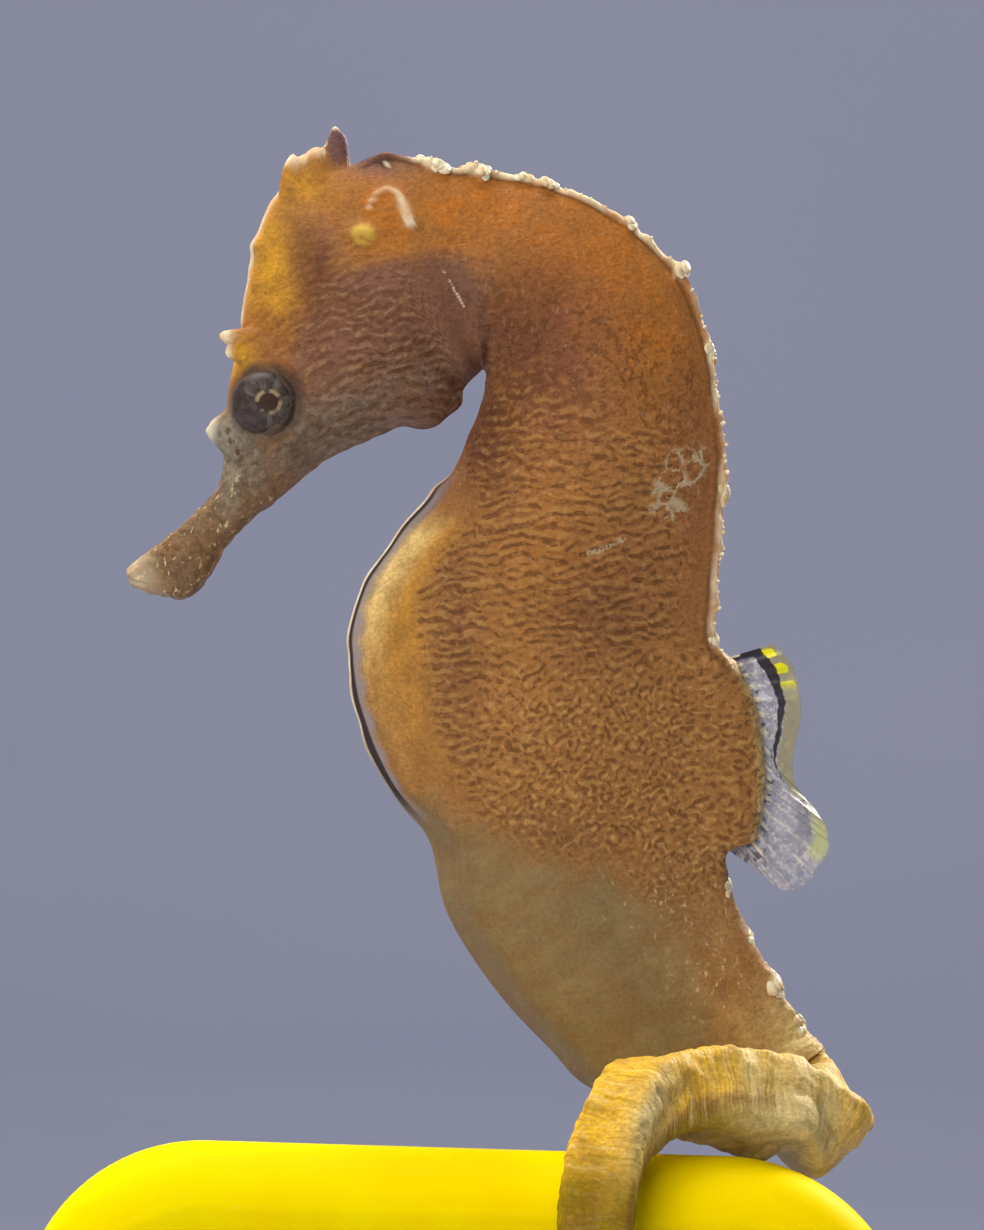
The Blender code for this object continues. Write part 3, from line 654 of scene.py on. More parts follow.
    # The platform of the back that carries the dorsal fin.
    edge_x = platform_edge(moved[:, 2])
    inside = ease(50.0, 51.0, moved[:, 2]) * ease(64.6, 63.4, moved[:, 2])
    wall = ease(FIN_PLATFORM_HALF + 2.6, FIN_PLATFORM_HALF - 0.35, width)
    platform = inside * wall * (t < 2.6) * (place > at("belly") - 0.5) * (place < at("vent") + 0.5)
    moved[:, 0] += np.maximum(edge_x - moved[:, 0], 0) * platform

    return moved, SimpleNamespace(
        fold=fold, knots=knots, pale=pale, spike_painted_shade=spike_painted_shade, gill_rim=gill, knob=knob, crease=crease,
        platform=platform, keel=keel, edge_gap=edge_x - moved[:, 0])


# Soft patches of the skin's zones: strength, x, z, radii, and tilt in degrees.
PATCHES = {
    "frost": ((1.0, -16.8, 79.3, 1.4, 1.7), (0.25, -15.5, 78.2, 1.3, 1.6),
              (0.5, -16.6, 76.0, 0.8, 2.2)),
    "amber": ((1.0, -13.6, 90.8, 1.5, 3.5, 6), (0.9, -15.8, 84.5, 1.2, 1.3),
              (0.45, -11.6, 96.6, 2.6, 1.8)),
    "orange": ((1.0, 1.5, 95.0, 7.5, 4.0), (1.0, 8.0, 92.0, 7.5, 5.5, -35),
               (0.8, 12.5, 86.5, 4.5, 6.5, 10), (0.9, -5.6, 94.4, 3.4, 3.4),
               (0.7, -13.6, 86.8, 2.8, 2.4), (0.5, -9.5, 95.5, 3.0, 3.0)),
    "orange trunk": ((1.0, 5.5, 74.0, 4.5, 11.0),),
    "rust": ((0.6, 15.8, 76.5, 2.8, 10.0), (0.4, 12.0, 70.0, 4.0, 5.0), (0.9, 6.6, 84.0, 4.6, 6.5),
             (0.8, -13.2, 85.6, 2.6, 2.0)),
    "dusky gill": ((1.0, 3.8, 85.6, 4.4, 5.6),),
    "dusky head": ((0.8, -10.4, 90.6, 1.9, 5.4), (0.5, -12.2, 87.0, 2.2, 2.2),
                   (0.4, -8.8, 88.6, 2.0, 5.0)),
    "dusky trunk": ((0.8, 0.8, 80.0, 3.2, 7.0, 6), (0.5, -0.6, 66.0, 1.6, 10.0, 3),
                    (0.5, 9.0, 66.5, 3.5, 3.5)),
    "umber": ((0.75, 13.8, 45.2, 4.0, 6.0, 18), (0.6, 6.0, 51.5, 6.0, 2.2)),
    "moss": ((1.0, -9.8, 79.0, 6.5, 2.6, 26), (1.0, -15.2, 78.0, 3.2, 3.6),
             (0.4, -4.5, 82.6, 4.0, 2.0, 15), (0.8, -12.6, 79.9, 3.0, 1.8, 10)),
    "slate": ((0.5, -12.8, 79.4, 2.6, 1.6, 15),),
    "wheat coil": ((1.0, 22.9, 32.5, 4.2, 6.0), (1.0, 19.9, 34.5, 1.0, 3.4, 12),
                   (1.0, 12.4, 33.0, 1.2, 3.4, -25), (0.6, 16.0, 30.6, 3.0, 0.8)),
    "wheat pouch": ((1.0, 23.0, 37.4, 4.2, 3.6, -40), (0.15, 17.5, 43.5, 3.6, 5.5, 20)),
    "rows": ((1.0, -4.6, 85.0, 7.6, 5.6, 18),),
    "flecks pouch": ((1.0, 17.0, 42.5, 2.8, 2.2, 30), (1.0, 17.4, 40.2, 2.2, 2.0, 20),
                     (0.8, 14.5, 47.0, 5.0, 3.0), (0.6, 21.0, 40.5, 3.5, 2.5)),
    "flecks nose": ((1.0, -15.4, 78.4, 2.2, 3.0),),
    "spots": ((1.0, -16.0, 78.6, 1.8, 2.8), (0.8, -16.6, 75.5, 0.9, 2.0)),
}


def skin_zones(flesh, p, masks):
    """Where each colour and marking lies on the skin, from 0 to 1, and its measures in mm."""
    t, place = flesh.turn, flesh.place
    x, z = p[:, 0], p[:, 2]
    left = BODY_Y > p[:, 1]
    from_back = (1 - flesh.v) * flesh.depth
    from_belly = (1 + flesh.v) * flesh.depth
    wobble = 0.8 * rough(p, 2.5, 30) + 0.4 * rough(p, 1.0, 31)
    head = ease(at("nape") + 1.0, at("crown"), place)
    body = 1 - head
    coil = ease(at("tail root") - 0.6, TAIL_START + 1.5, place)
    eye_x, eye_z = x - EYE_CENTRE[0], z - EYE_CENTRE[1]
    eye, eye_turn = np.hypot(eye_x, eye_z), np.arctan2(eye_z, eye_x)
    snout = ease(at("nose") + 0.8, at("snout root"), place)
    keel = masks.keel * ease(51.0, 54.5, z)
    # The smooth pouch begins along a line that falls toward the back.
    below = 54.6 - 0.40 * (x + 2) + 1.5 * wobble - z
    behind = 0.845 * (x - 10.8) + 0.535 * (z - 50.3)  # beyond the pouch's slanting rear edge
    pouch = ease(-0.6, 3.4, below) * body * (1 - coil) * ease(1.8, -2.6, behind + 0.8 * wobble)
    trunk = ease(at("hump"), at("neck") + 0.6, place) * (1 - ease(-1.8, 2.4, below)) * body
    # The dark cheek, bounded all round its middle.
    cheek_x, cheek_z = x - CHEEK[0], z - CHEEK[1]
    bound = np.interp(np.degrees(np.arctan2(cheek_z, cheek_x)), *np.transpose(CHEEK_REACH))
    # Distance to the painted highlight on the hump, a cream speck ringed in dark.
    highlight_gap = np.where(place > at("gill cover"), np.hypot(x - HUMP_HIGHLIGHT[0], z - HUMP_HIGHLIGHT[1]), 9)
    level = z - CHEEK_ARCS[1]
    crest = ease(86.4, 87.4, z) * ease(98.2, 96.5, z) * head
    under_rows = 4.6 - 1.7 * ease(62.0, 69.0, z)  # width of the keel that the rows leave free

    def patches(name):
        return most(*(strength * blob(x + 0.4 * wobble, z + 0.4 * wobble, *patch)
                      for strength, *patch in PATCHES[name]))

    return {
        # Colours.
        "frost": patches("frost") * head,
        "amber": patches("amber") * head,
        "orange": most(patches("orange"), 0.25 * patches("orange trunk") * body),
        "rust": patches("rust"),
        "dusky": most(0.75 * patches("dusky gill") + patches("dusky head") * head,
                      patches("dusky trunk") * body),
        # The tallest spine takes umber and plum as painted shade.
        "umber": most(patches("umber"), 0.8 * masks.spike_painted_shade) * (1 - coil),
        "plum": most(blob(x, z, -5.9, 99.0, 3.0, 1.6), 0.9 * masks.spike_painted_shade) * (place < at("neck")),
        "cheek": ease(0.5, -1.0, np.hypot(cheek_x, cheek_z) - bound + 0.7 * wobble),
        "olive": pouch * ease(2.0, 6.0, from_back),
        "snout": 0.9 * snout,
        "moss": 1.25 * patches("moss") * head,
        "slate": most(0.8 * ease(3.2, 2.1, eye + 0.55 * wobble), ease(2.4, 2.2, eye),
                      patches("slate")) * head,
        "wheat": most(coil * patches("wheat coil"), 0.8 * patches("wheat pouch") * (1 - coil),
                      0.5 * masks.platform * ease(0.9, 0.2, masks.edge_gap)),
        # Painted light on the coil: gold on its top, and shade on its underside and lower turns.
        "gold": coil * ease(4.3, 3.2, t) * ease(24.0, 30.5, z),
        "shade": coil * most(ease(3.6, 4.6, t), 0.9 * ease(31.5, 28.0, z)),
        "cream": most(
            masks.pale, 0.75 * ease(0.35, 0.85, masks.gill_rim) * ease(-5.6, -4.2, x),
            0.6 * ease(0.45, 0.9, masks.gill_rim),
            ease(0.35, 0.75, masks.fold) * np.where(x < 0, ease(-4.6, -3.4, x), 1.0)
            * np.clip(0.85 + 0.4 * rough(p, 1.1, 34), 0.4, 1),
            0.85 * ease(0.30, 0.62, masks.knots), 0.75 * ease(0.34, 0.1, t) * crest,
            ease(0.2, 0.1, highlight_gap), 0.45 * ease(at("lips") + 0.7, at("mouth"), place)),
        # The gill knob in straw: its own amber with a painted highlight, left off along its crease.
        "knob": np.maximum(ease(0.2, 0.75, masks.knob) - 0.9 * masks.crease, 0),
        # Painted shadow: a dark line at the foot of each frill, and a dark ring round the hump's
        # painted highlight.
        "foot": most(np.where(masks.fold > 0.005, hill(t, 1.17, 0.06), 0)
                     * ease(-1.2, 0.2, rough(p, 1.6, 33)), 0.7 * ease(0.42, 0.28, highlight_gap)),
        "keel": keel,
        "margin": 0.12 + 0.30 * ease(72.0, 65.0, z) * wave(z / 2.2 + wobble / np.pi),
        # Markings.
        "rows": most(trunk * ease(88.5, 80.5, z + 0.25 * x)
                     * most(ease(0.8, 3.4, from_back + wobble), ease(67.0, 63.0, z))
                     * ease(0.4, 1.0, most(from_belly - under_rows * keel, 0.41)),
                     head * ease(2.7, 3.6, eye) * ease(0.3, 1.2, t) * patches("rows") ** 0.5),
        "maze": body * most(ease(66.0, 60.0, z + 0.3 * wobble) * ease(-2.0, 5.0, x),
                            0.6 * ease(13.0, 16.0, x)),
        "dots": 0.8 * ease(at("hump") - 0.8, at("neck"), place) * ease(76.0, 85.0, z + 0.25 * x)
                * ease(0.3, 2.0, from_back) * (0.3 + 0.7 * ease(94.0, 89.5, z + 0.4 * x)),
        "pleats": most(coil * ease(4.9, 4.3, t) * ease(27.8, 31.0, z),
                       0.15 * flesh.between("pouch lower", "tail root") * ease(3.4, 2.2, t)),
        "flecks": most(snout, 0.9 * patches("flecks pouch"), 0.35 * patches("flecks nose"),
                       0.15 * trunk),
        "spots": patches("spots") * head,
        "beads": masks.platform * ease(0.7, 0.25, masks.edge_gap),
        "wrinkles": hill(eye, 3.6, 1.3) * ease(1.0, 0.3, np.abs(eye_turn + 0.5)) * head,
        "smooth": pouch,
        "net": blob(x, z, 14.8, 76.0, 3.6, 1.7, 65) * left,
        # Measures that the markings follow.
        "eye_turn": eye_turn,
        "eye_gap": eye,
        "from_belly": from_belly,
        "length": flesh.length,
        "row": np.where(head > 0, np.hypot(np.minimum(x - CHEEK_ARCS[0], 0), level), level),
        "run": head * x + body * flesh.run + np.where(left, 40, -40),
        "scratch": np.where(left, np.minimum(distance_to_line(x, z, SCRATCH)[0], 2), 2),
    }


def write_attributes(mesh, values):
    """Stores one number for each point under each name; the last points are the ends' middles."""
    spare = len(mesh.vertices) - len(next(iter(values.values())))
    for name, numbers in values.items():
        numbers = np.concatenate([numbers, np.full(spare, numbers[0])]).astype(np.float32)
        mesh.attributes.new(name, "FLOAT", "POINT").data.foreach_set("value", numbers)


def new_object(name, data):
    made = bpy.data.objects.new(name, data)
    bpy.context.scene.collection.objects.link(made)
    return made


def add_piece(name, mesh, material, slot, *nodes):
    """A visible piece that rides on the model and stands for the named solids."""
    piece = new_object(name, mesh)
    mesh.materials.append(material)
    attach(piece, "root")
    if nodes:
        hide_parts(*nodes)
    return piece


def build_skin(grain):
    flesh = Flesh()
    mesh = flesh.mesh("skin")
    count = len(flesh.points)
    normals = np.zeros(len(mesh.vertices) * 3, np.float32)
    mesh.vertices.foreach_get("normal", normals)
    normals = normals.reshape(-1, 3)[:count].astype(float)
    moved, masks = skin_relief(flesh, normals)
    points = np.zeros(len(mesh.vertices) * 3, np.float32)
    mesh.vertices.foreach_get("co", points)
    points = points.reshape(-1, 3)
    points[:count] = moved * MM
    mesh.vertices.foreach_set("co", points.ravel())
    zones = skin_zones(flesh, moved, masks)
    write_attributes(mesh, zones)
    mesh.update()
    add_piece("skin", mesh, skin_material(grain, zones), "skin_trunk", *FLESH_NODES)
    return flesh, moved, normals


# ------------------------------------------------------------- materials


def srgb(red, green, blue):
    """Linear colour from plain 0 to 255 values."""
    def linear(c):
        c /= 255
        return c / 12.92 if c <= 0.04045 else ((c + 0.055) / 1.055) ** 2.4
    return (linear(red), linear(green), linear(blue), 1.0)


class Bench:
    """Lays out the shader nodes of one material or group, and keeps the colour so far."""

    def __init__(self, tree, material=None):
        self.tree, self.material, self.colour = tree, material, None

    def add(self, kind, inputs=(), **settings):
        made = self.tree.nodes.new(kind)
        for name, value in settings.items():
            setattr(made, name, value)
        for name, value in dict(inputs).items():
            self.feed(made.inputs[name], value)
        return made

    def feed(self, socket, value):
        if isinstance(value, bpy.types.NodeSocket):
            self.tree.links.new(value, socket)
        else:
            socket.default_value = value

    def math(self, operation, *values):
        return self.add("ShaderNodeMath", enumerate(values), operation=operation).outputs[0]

    def plus(self, *values):
        return self.math("ADD", *values)

    def less(self, *values):
        return self.math("SUBTRACT", *values)

    def most(self, *values):
        return reduce(partial(self.math, "MAXIMUM"), values)

    def times(self, *values):
        return reduce(partial(self.math, "MULTIPLY"), values)

    def mad(self, value, factor, extra):
        """Multiply, then add: the value times the factor, plus the extra."""
        return self.math("MULTIPLY_ADD", value, factor, extra)

    def capped(self, *values):
        """The product of the values, held to 1."""
        return self.math("MINIMUM", self.times(*values), 1.0)

    def span(self, value, low, high, to_low=0.0, to_high=1.0):
        """Smooth step of a value from one range to another."""
        made = self.add("ShaderNodeMapRange", enumerate((value, low, high, to_low, to_high)),
                        interpolation_type="SMOOTHSTEP")
        return made.outputs[0]

    def mix(self, share, first, second, blend="MIX"):
        made = self.add("ShaderNodeMix", {0: share, 6: first, 7: second},
                        data_type="RGBA", blend_type=blend)
        return made.outputs[2]

    def coat(self, share, paint):
        """Lays a share of a paint over the colour so far."""
        self.colour = self.mix(share, self.colour, paint)

    def attribute(self, name):
        return self.add("ShaderNodeAttribute", attribute_name=name).outputs["Fac"]

    def noise(self, vector, scale, detail=2.0, roughness=0.5):
        made = self.add("ShaderNodeTexNoise", {"Vector": vector, "Scale": scale, "Detail": detail,
                                               "Roughness": roughness})
        return made.outputs[0]

    def cells(self, vector, scale, feature="F1"):
        made = self.add("ShaderNodeTexVoronoi", {"Vector": vector, "Scale": scale}, feature=feature)
        return made.outputs["Distance"]

    def web(self, vector, scale, frequency, anisotropy):
        """Wandering lines across the vector's second direction."""
        return self.add("ShaderNodeTexGabor", {
            "Vector": vector, "Scale": scale, "Frequency": frequency, "Orientation": math.pi / 2,
            "Anisotropy": anisotropy}, gabor_type="2D").outputs["Value"]

    def millimetres(self):
        """The piece's own coordinates in mm."""
        return self.scaled(self.add("ShaderNodeTexCoord").outputs["Object"], 1 / MM)

    def scaled(self, vector, scale):
        return self.add("ShaderNodeVectorMath", {0: vector, "Scale": scale},
                        operation="SCALE").outputs[0]

    def stretched(self, vector, *scale):
        return self.add("ShaderNodeVectorMath", {0: vector, 1: scale},
                        operation="MULTIPLY").outputs[0]

    def parts(self, vector):
        return self.add("ShaderNodeSeparateXYZ", {0: vector}).outputs

    def joined(self, *values):
        return self.add("ShaderNodeCombineXYZ", enumerate(values)).outputs[0]

    def wave(self, phase):
        """0 to 1 and back for each whole number of the phase."""
        return self.mad(self.math("SINE", self.times(phase, 2 * math.pi)), 0.5, 0.5)

    def bump(self, height, depth):
        """Normals of a relief whose depth is given in mm."""
        return self.add("ShaderNodeBump", {"Height": height, "Distance": depth * MM,
                                           "Strength": 1.0}).outputs[0]

    def shade(self, **sockets):
        """Fills sockets of the plain shader; their names have _ for spaces."""
        for key, value in sockets.items():
            self.feed(self.tree.nodes["Principled BSDF"].inputs[key.replace("_", " ")], value)

    def finish(self, relief, depth, **sockets):
        """Gives the shader the colour so far, a relief and any other sockets."""
        self.shade(Base_Color=self.colour, Normal=self.bump(relief, depth), **sockets)
        return self.material


def new_material(name, **sockets):
    """Bench for a new material, with the given sockets of its plain shader filled."""
    material = bpy.data.materials.new(name)
    material.use_nodes = True
    bench = Bench(material.node_tree, material)
    bench.shade(**sockets)
    return bench


def new_group(name, taken, given):
    """Node group with the named inputs and outputs: its bench and its inputs."""
    group = bpy.data.node_groups.new(name, "ShaderNodeTree")
    for way, sockets in (("INPUT", taken), ("OUTPUT", given)):
        for socket, kind in sockets.items():
            group.interface.new_socket(socket, in_out=way, socket_type="NodeSocket" + kind)
    return Bench(group), group.nodes.new("NodeGroupInput").outputs


def close_group(bench, **given):
    """Connects what the group puts out."""
    outputs = bench.tree.nodes.new("NodeGroupOutput").inputs
    for name, value in given.items():
        bench.feed(outputs[name], value)
    return bench.tree


def placed(bench, group, **taken):
    """What a group puts out when it is placed in a material with its own values."""
    made = bench.add("ShaderNodeGroup", node_tree=group)
    for name, value in taken.items():
        bench.feed(made.inputs[name], value)
    return made.outputs


def grain_group():
    """Fine living grain: pores and soft mottling, shared by the skin and the knobs."""
    b, taken = new_group("living_grain", {"Place": "Vector", "Size": "Float"},
                         {"Height": "Float", "Mottle": "Float"})
    scaled = b.scaled(taken["Place"], taken["Size"])
    pores = b.span(b.cells(scaled, 3.4), 0.0, 0.55)
    lumps = b.noise(scaled, 1.3, 4.0, 0.6)
    return close_group(b, Height=b.mad(lumps, 0.7, b.times(pores, 0.3)),
                       Mottle=b.noise(scaled, 0.55, 3.0, 0.55))


FLANK = srgb(156, 108, 58)
# Paints of the skin's zones, in the order they are laid over each other; gold is painted top light on
# the coil and shade is painted shade under it.
ZONE_PAINTS = {name: srgb(*paint) for name, paint in dict(
    orange=(170, 102, 34), rust=(144, 90, 56), umber=(118, 84, 50), dusky=(98, 60, 44),
    cheek=(120, 82, 62), olive=(130, 108, 70), snout=(122, 97, 70), moss=(120, 101, 82),
    amber=(208, 152, 44), gold=(222, 172, 44), shade=(138, 110, 14), wheat=(200, 176, 114),
    plum=(104, 74, 74), frost=(140, 134, 114)).items()}
# Straw of the keel's painted light.
KEEL_LIT_STRAW = srgb(218, 184, 116)
KEEL_GOLD = srgb(182, 130, 54)
SLATE = srgb(76, 63, 56)
LILAC = srgb(142, 136, 142)
CREAM = srgb(238, 224, 184)
PINKISH = srgb(214, 180, 140)
KNOB_STRAW_HIGHLIGHT = srgb(196, 160, 68)
MARK = srgb(88, 55, 30)
NIGHT = srgb(34, 26, 24)
PALE_WORM = srgb(192, 150, 84)
FLECK = srgb(206, 184, 140)


def skin_material(grain, zones):
    """The animal's skin, painted by the zones that its mesh carries."""
    b = new_material(
        "seahorse_skin", Roughness=0.45, Subsurface_Weight=0.12, Subsurface_Scale=0.6 * MM,
        Subsurface_Radius=(1.0, 0.5, 0.25), Specular_IOR_Level=0.15)
    place = b.millimetres()
    x, y, z = b.parts(place)
    height, mottle = placed(b, grain, Place=place, Size=1.0)
    zone = SimpleNamespace(**{name: b.attribute(name) for name in zones})
    drift = b.noise(place, 0.28, 2.0)
    ripple = b.noise(place, 1.1, 1.0)
    fine = b.noise(place, 4.0, 2.0, 0.6)
    ragged = b.span(mottle, 0.3, 0.7, 0.7, 1.25)
    strokes = b.noise(b.stretched(place, 1.0, 1.0, 1.7), 2.6, 4.0, 0.7)

    b.colour = FLANK
    for name, paint in ZONE_PAINTS.items():
        b.coat(b.capped(getattr(zone, name), ragged), paint)
    # The keel's amber flank, stronger higher up as painted top light, with painted light in straw
    # toward its edge and top; then the tone of strokes and pores over all.
    keel_amber_and_top_light = b.times(b.span(b.plus(zone.from_belly, b.span(z, 62.0, 70.0, 0.0, 1.6)), 6.4, 4.2),
                    zone.keel, b.span(z, 60.0, 67.0, 0.55, 1.0), b.span(z, 53.0, 60.0, 0.05, 1.0),
                    b.span(z, 74.5, 71.5))
    keel_painted_light = b.times(b.span(zone.from_belly, 3.4, 1.2), b.span(z, 60.0, 70.0, 0.25, 1.0))
    b.coat(b.capped(keel_amber_and_top_light, ragged), b.mix(keel_painted_light, KEEL_GOLD, KEEL_LIT_STRAW))
    coarse = b.span(strokes, 0.3, 0.7, 0.84, 1.14)
    tone = b.times(b.span(mottle, 0.25, 0.75, 0.88, 1.10), b.span(fine, 0.25, 0.75, 0.88, 1.10),
                   b.math("POWER", coarse, b.less(1.2, b.times(zone.smooth, 0.8))))
    b.colour = b.mix(1.0, b.colour, b.joined(tone, tone, tone), "MULTIPLY")
    blotch = b.times(b.span(b.noise(place, 1.5, 3.0, 0.65), 0.46, 0.60), zone.snout, 0.5)
    b.coat(blotch, srgb(78, 56, 36))
    patches = b.noise(place, 1.7, 3.0, 0.6)
    b.coat(b.times(b.span(patches, 0.54, 0.64), zone.moss, 0.45), srgb(156, 142, 118))
    b.coat(b.times(b.span(patches, 0.46, 0.38), zone.moss, 0.45), srgb(72, 56, 46))
    # Faint slanting streaks on the smooth pouch.
    streaks = b.noise(b.joined(b.times(b.mad(x, 0.7, z), 0.12), b.mad(x, -0.62, z), y), 0.75, 2.0)
    b.coat(b.times(b.span(streaks, 0.50, 0.68), zone.smooth, 0.16), srgb(162, 136, 90))

    # Rows of short dark dashes, which dissolve into a maze lower down.
    across = b.mad(ripple, 0.5, b.mad(drift, 1.6, zone.row))
    warped = b.joined(b.mad(ripple, 0.9, zone.run), across, 0.0)
    web = b.web(warped, WEB_SCALE, 1 / (WEB_SCALE * ROW_PITCH), b.span(zone.maze, 0.0, 1.0, 0.82, 0.25))
    fine_web = b.web(warped, FINE_WEB_SCALE, FINE_WEB_FREQUENCY, 0.15)
    web = b.mad(b.less(fine_web, web), b.times(zone.maze, 0.85), web)
    breaks = b.noise(place, 1.5, 3.0, 0.6)
    dark = b.times(b.span(web, 0.485, 0.41), b.span(breaks, 0.38, 0.58, 0.15, 1.0), zone.rows,
                   b.mad(zone.maze, -0.06, 0.66))
    pale = b.times(b.span(web, 0.52, 0.62), b.span(breaks, 0.62, 0.40), zone.rows,
                   b.mad(b.most(b.times(zone.cheek, 1.6), zone.maze), 0.26, 0.34))
    # Scattered dots on the upper back.
    near = b.cells(b.stretched(place, 0.9, 0.9, 1.3), 1.7)
    dots = b.times(b.span(near, 0.34, 0.16), b.span(ripple, 0.40, 0.58), zone.dots, 0.62)
    dots = b.most(dots, b.times(b.span(b.noise(place, 1.5, 2.0, 0.6), 0.53, 0.61), zone.dots, 0.6))
    # Fine pleats round the tail, with painted shade in their grooves and a faint painted highlight on
    # their crests, pale spots on the nose and creases round the eye.
    shift = b.mad(drift, 5.0, b.times(ripple, 1.3))
    pleat = b.wave(b.mad(zone.length, 1 / PLEAT_PITCH, b.times(shift, 0.7)))
    grooves = b.times(b.span(pleat, 0.5, 0.95), b.span(ripple, 0.34, 0.6), zone.pleats)
    spots = b.times(b.span(b.cells(place, 1.15), 0.36, 0.20), zone.spots, 0.75)
    wrinkles = b.joined(b.times(zone.eye_turn, 6.0), b.times(zone.eye_gap, 0.7), 0.0)
    wrinkles = b.noise(wrinkles, 1.0, 2.0)
    wrinkles = b.times(b.span(wrinkles, 0.52, 0.60), zone.wrinkles, 0.5)
    # The pleats' grooves join the dark marks as painted shade.
    dark = b.most(dark, dots, b.times(grooves, 0.10), spots)
    b.coat(dark, MARK)
    b.coat(pale, b.mix(zone.cheek, PALE_WORM, srgb(158, 120, 86)))
    b.coat(wrinkles, srgb(158, 134, 108))
    flecks = b.times(b.span(b.noise(b.stretched(place, 1.3, 1.3, 0.8), 2.1, 2.0, 0.6), 0.60, 0.68),
                     b.span(ripple, 0.36, 0.56), zone.flecks, 0.85)
    streak = b.noise(b.joined(b.mad(drift, 3.0, b.times(zone.length, 2.4)),
                              b.times(x, 0.3), b.times(z, 0.3)), 1.0, 2.5, 0.6)
    b.coat(b.times(b.span(streak, 0.53, 0.66), zone.pleats, 0.4), srgb(222, 196, 130))
    b.coat(b.times(b.span(streak, 0.47, 0.36), zone.pleats, 0.4), ZONE_PAINTS["shade"])
    # Faint painted highlight on the crests between the pleats.
    ridges = b.times(b.span(pleat, 0.45, 0.1), b.span(ripple, 0.62, 0.4), zone.pleats, 0.12)
    beads = b.times(b.span(b.cells(place, 1.1), 0.36, 0.22), zone.beads)
    for marks in (flecks, ridges, beads):
        b.coat(marks, FLECK)
    # A pale net and a scratch that this animal carries on its left side.
    net = b.joined(b.mad(ripple, 1.6, x), b.mad(breaks, 1.6, z), 0.0)
    net = b.cells(net, 0.8, "DISTANCE_TO_EDGE")
    net = b.times(b.span(net, 0.13, 0.06), b.span(b.times(zone.net, ragged), 0.35, 0.6),
                  b.span(breaks, 0.36, 0.5))
    scratch = b.times(b.span(b.mad(breaks, 0.9, zone.scratch), 0.68, 0.5), b.span(fine, 0.35, 0.5))
    b.coat(b.times(b.most(net, scratch), 0.75), srgb(190, 172, 134))
    b.coat(b.capped(zone.slate, ragged), SLATE)
    # Straw on the gill knob: its own amber and a painted highlight.
    b.coat(zone.knob, KNOB_STRAW_HIGHLIGHT)

    # The keel: a clear lilac margin, a black line and a white lip.
    inside = b.less(zone.from_belly, b.mad(drift, 0.5, zone.margin))
    b.coat(b.times(b.span(inside, 0.55, -0.2), zone.keel, 0.8), LILAC)
    width = b.span(z, 66.0, 56.0, 0.24, 0.42)
    line = b.times(b.span(zone.from_belly, 0.07, 0.13),
                   b.span(b.less(zone.from_belly, width), 0.06, -0.06))
    b.coat(b.times(line, zone.keel, 0.9), NIGHT)
    lip = b.times(b.span(zone.from_belly, 0.11, 0.05), zone.keel, b.span(z, 53.0, 60.0, 0.2, 1.0))
    # The frills of the back: cream, with a painted shadow line at their foot; the same mask paints a
    # dark ring round the painted highlight on the hump.
    b.coat(b.times(zone.foot, 0.9), NIGHT)
    cream = b.mix(b.span(mottle, 0.35, 0.65), CREAM, PINKISH)
    cream = b.mix(zone.frost, cream, srgb(184, 188, 172))
    b.coat(b.most(b.times(lip, 0.9), zone.cream), cream)

    relief = b.less(b.mad(height, 0.6, b.times(pale, 0.5)), b.mad(grooves, 0.16, b.times(dark, 0.8)))
    relief = b.plus(relief, b.times(b.plus(strokes, wrinkles), 0.4))
    return b.finish(relief, 0.10, Roughness=b.span(height, 0.3, 0.7, 0.44, 0.60))


# -------------------------------------------------------- eyes and knobs


def uv_surface(name, grid):
    """Mesh from a grid of points (rows, columns, 3) in mm, whose rows run round."""
    rows, columns = grid.shape[:2]
    faces, unwrap = [], []
    for r in range(rows - 1):
        for k in range(columns):
            corners = ((r, k), (r, k + 1), (r + 1, k + 1), (r + 1, k))
            faces.append([i * columns + j % columns for i, j in corners])
            unwrap += [(i / (rows - 1), j / columns) for i, j in corners]
    return new_mesh(name, grid.reshape(-1, 3), faces, unwrap)


def turned(name, profile, centre, steps):
    """Turned surface about a vertical axis, from (radius, height) pairs in mm."""
    return uv_surface(name, np.array([
        [(centre[0] + r * math.cos(a), centre[1] + r * math.sin(a), h) for a in circle(steps)]
        for r, h in profile]))


def welded(mesh):
    """Joins points that lie within 0.002 mm and turns every face outward."""
    bm = bmesh.new()
    bm.from_mesh(mesh)
    bmesh.ops.remove_doubles(bm, verts=bm.verts, dist=0.002 * MM)
    bmesh.ops.recalc_face_normals(bm, faces=bm.faces)
    return filled(mesh, bm)


PUPIL_X = 0.42  # mm that the pupil lies behind the middle of the eye


def eye_material():
    b = new_material("eye_glass", Roughness=0.4, Coat_Weight=0.12, Coat_Roughness=0.08,
                     Specular_IOR_Level=0.15)
    place = b.millimetres()
    x, _, z = b.parts(place)
    across = b.plus(x, -PUPIL_X)
    sway = b.noise(place, 1.2, 2.0, 0.6)
    reach = b.math("SQRT", b.plus(b.times(across, across), b.times(z, z, 1.15)))
    reach = b.mad(sway, 0.22, b.plus(reach, -0.11))
    angle = b.math("ARCTAN2", z, across)
    turn = b.joined(b.math("COSINE", angle), b.math("SINE", angle), b.times(reach, 0.12))
    spokes = b.noise(turn, 3.4, 2.0)
    broken = b.noise(turn, 1.1, 1.0)
    mottle = b.noise(place, 1.6, 3.0, 0.6)
    b.colour = b.mix(b.span(mottle, 0.38, 0.68), srgb(60, 50, 46), srgb(82, 70, 64))
    cool = b.times(b.span(spokes, 0.50, 0.66), b.span(reach, 0.7, 1.1), b.span(reach, 2.3, 1.5))
    b.coat(b.times(cool, 0.45), srgb(112, 104, 98))
    ring = b.times(b.span(reach, 0.60, 0.70), b.span(reach, 1.02, 0.86), b.span(broken, 0.44, 0.58))
    b.coat(b.times(ring, 0.8), srgb(160, 138, 100))
    b.coat(b.span(reach, 0.68, 0.60), srgb(66, 46, 38))
    return b.finish(b.plus(mottle, b.times(cool, 0.5)), 0.04)


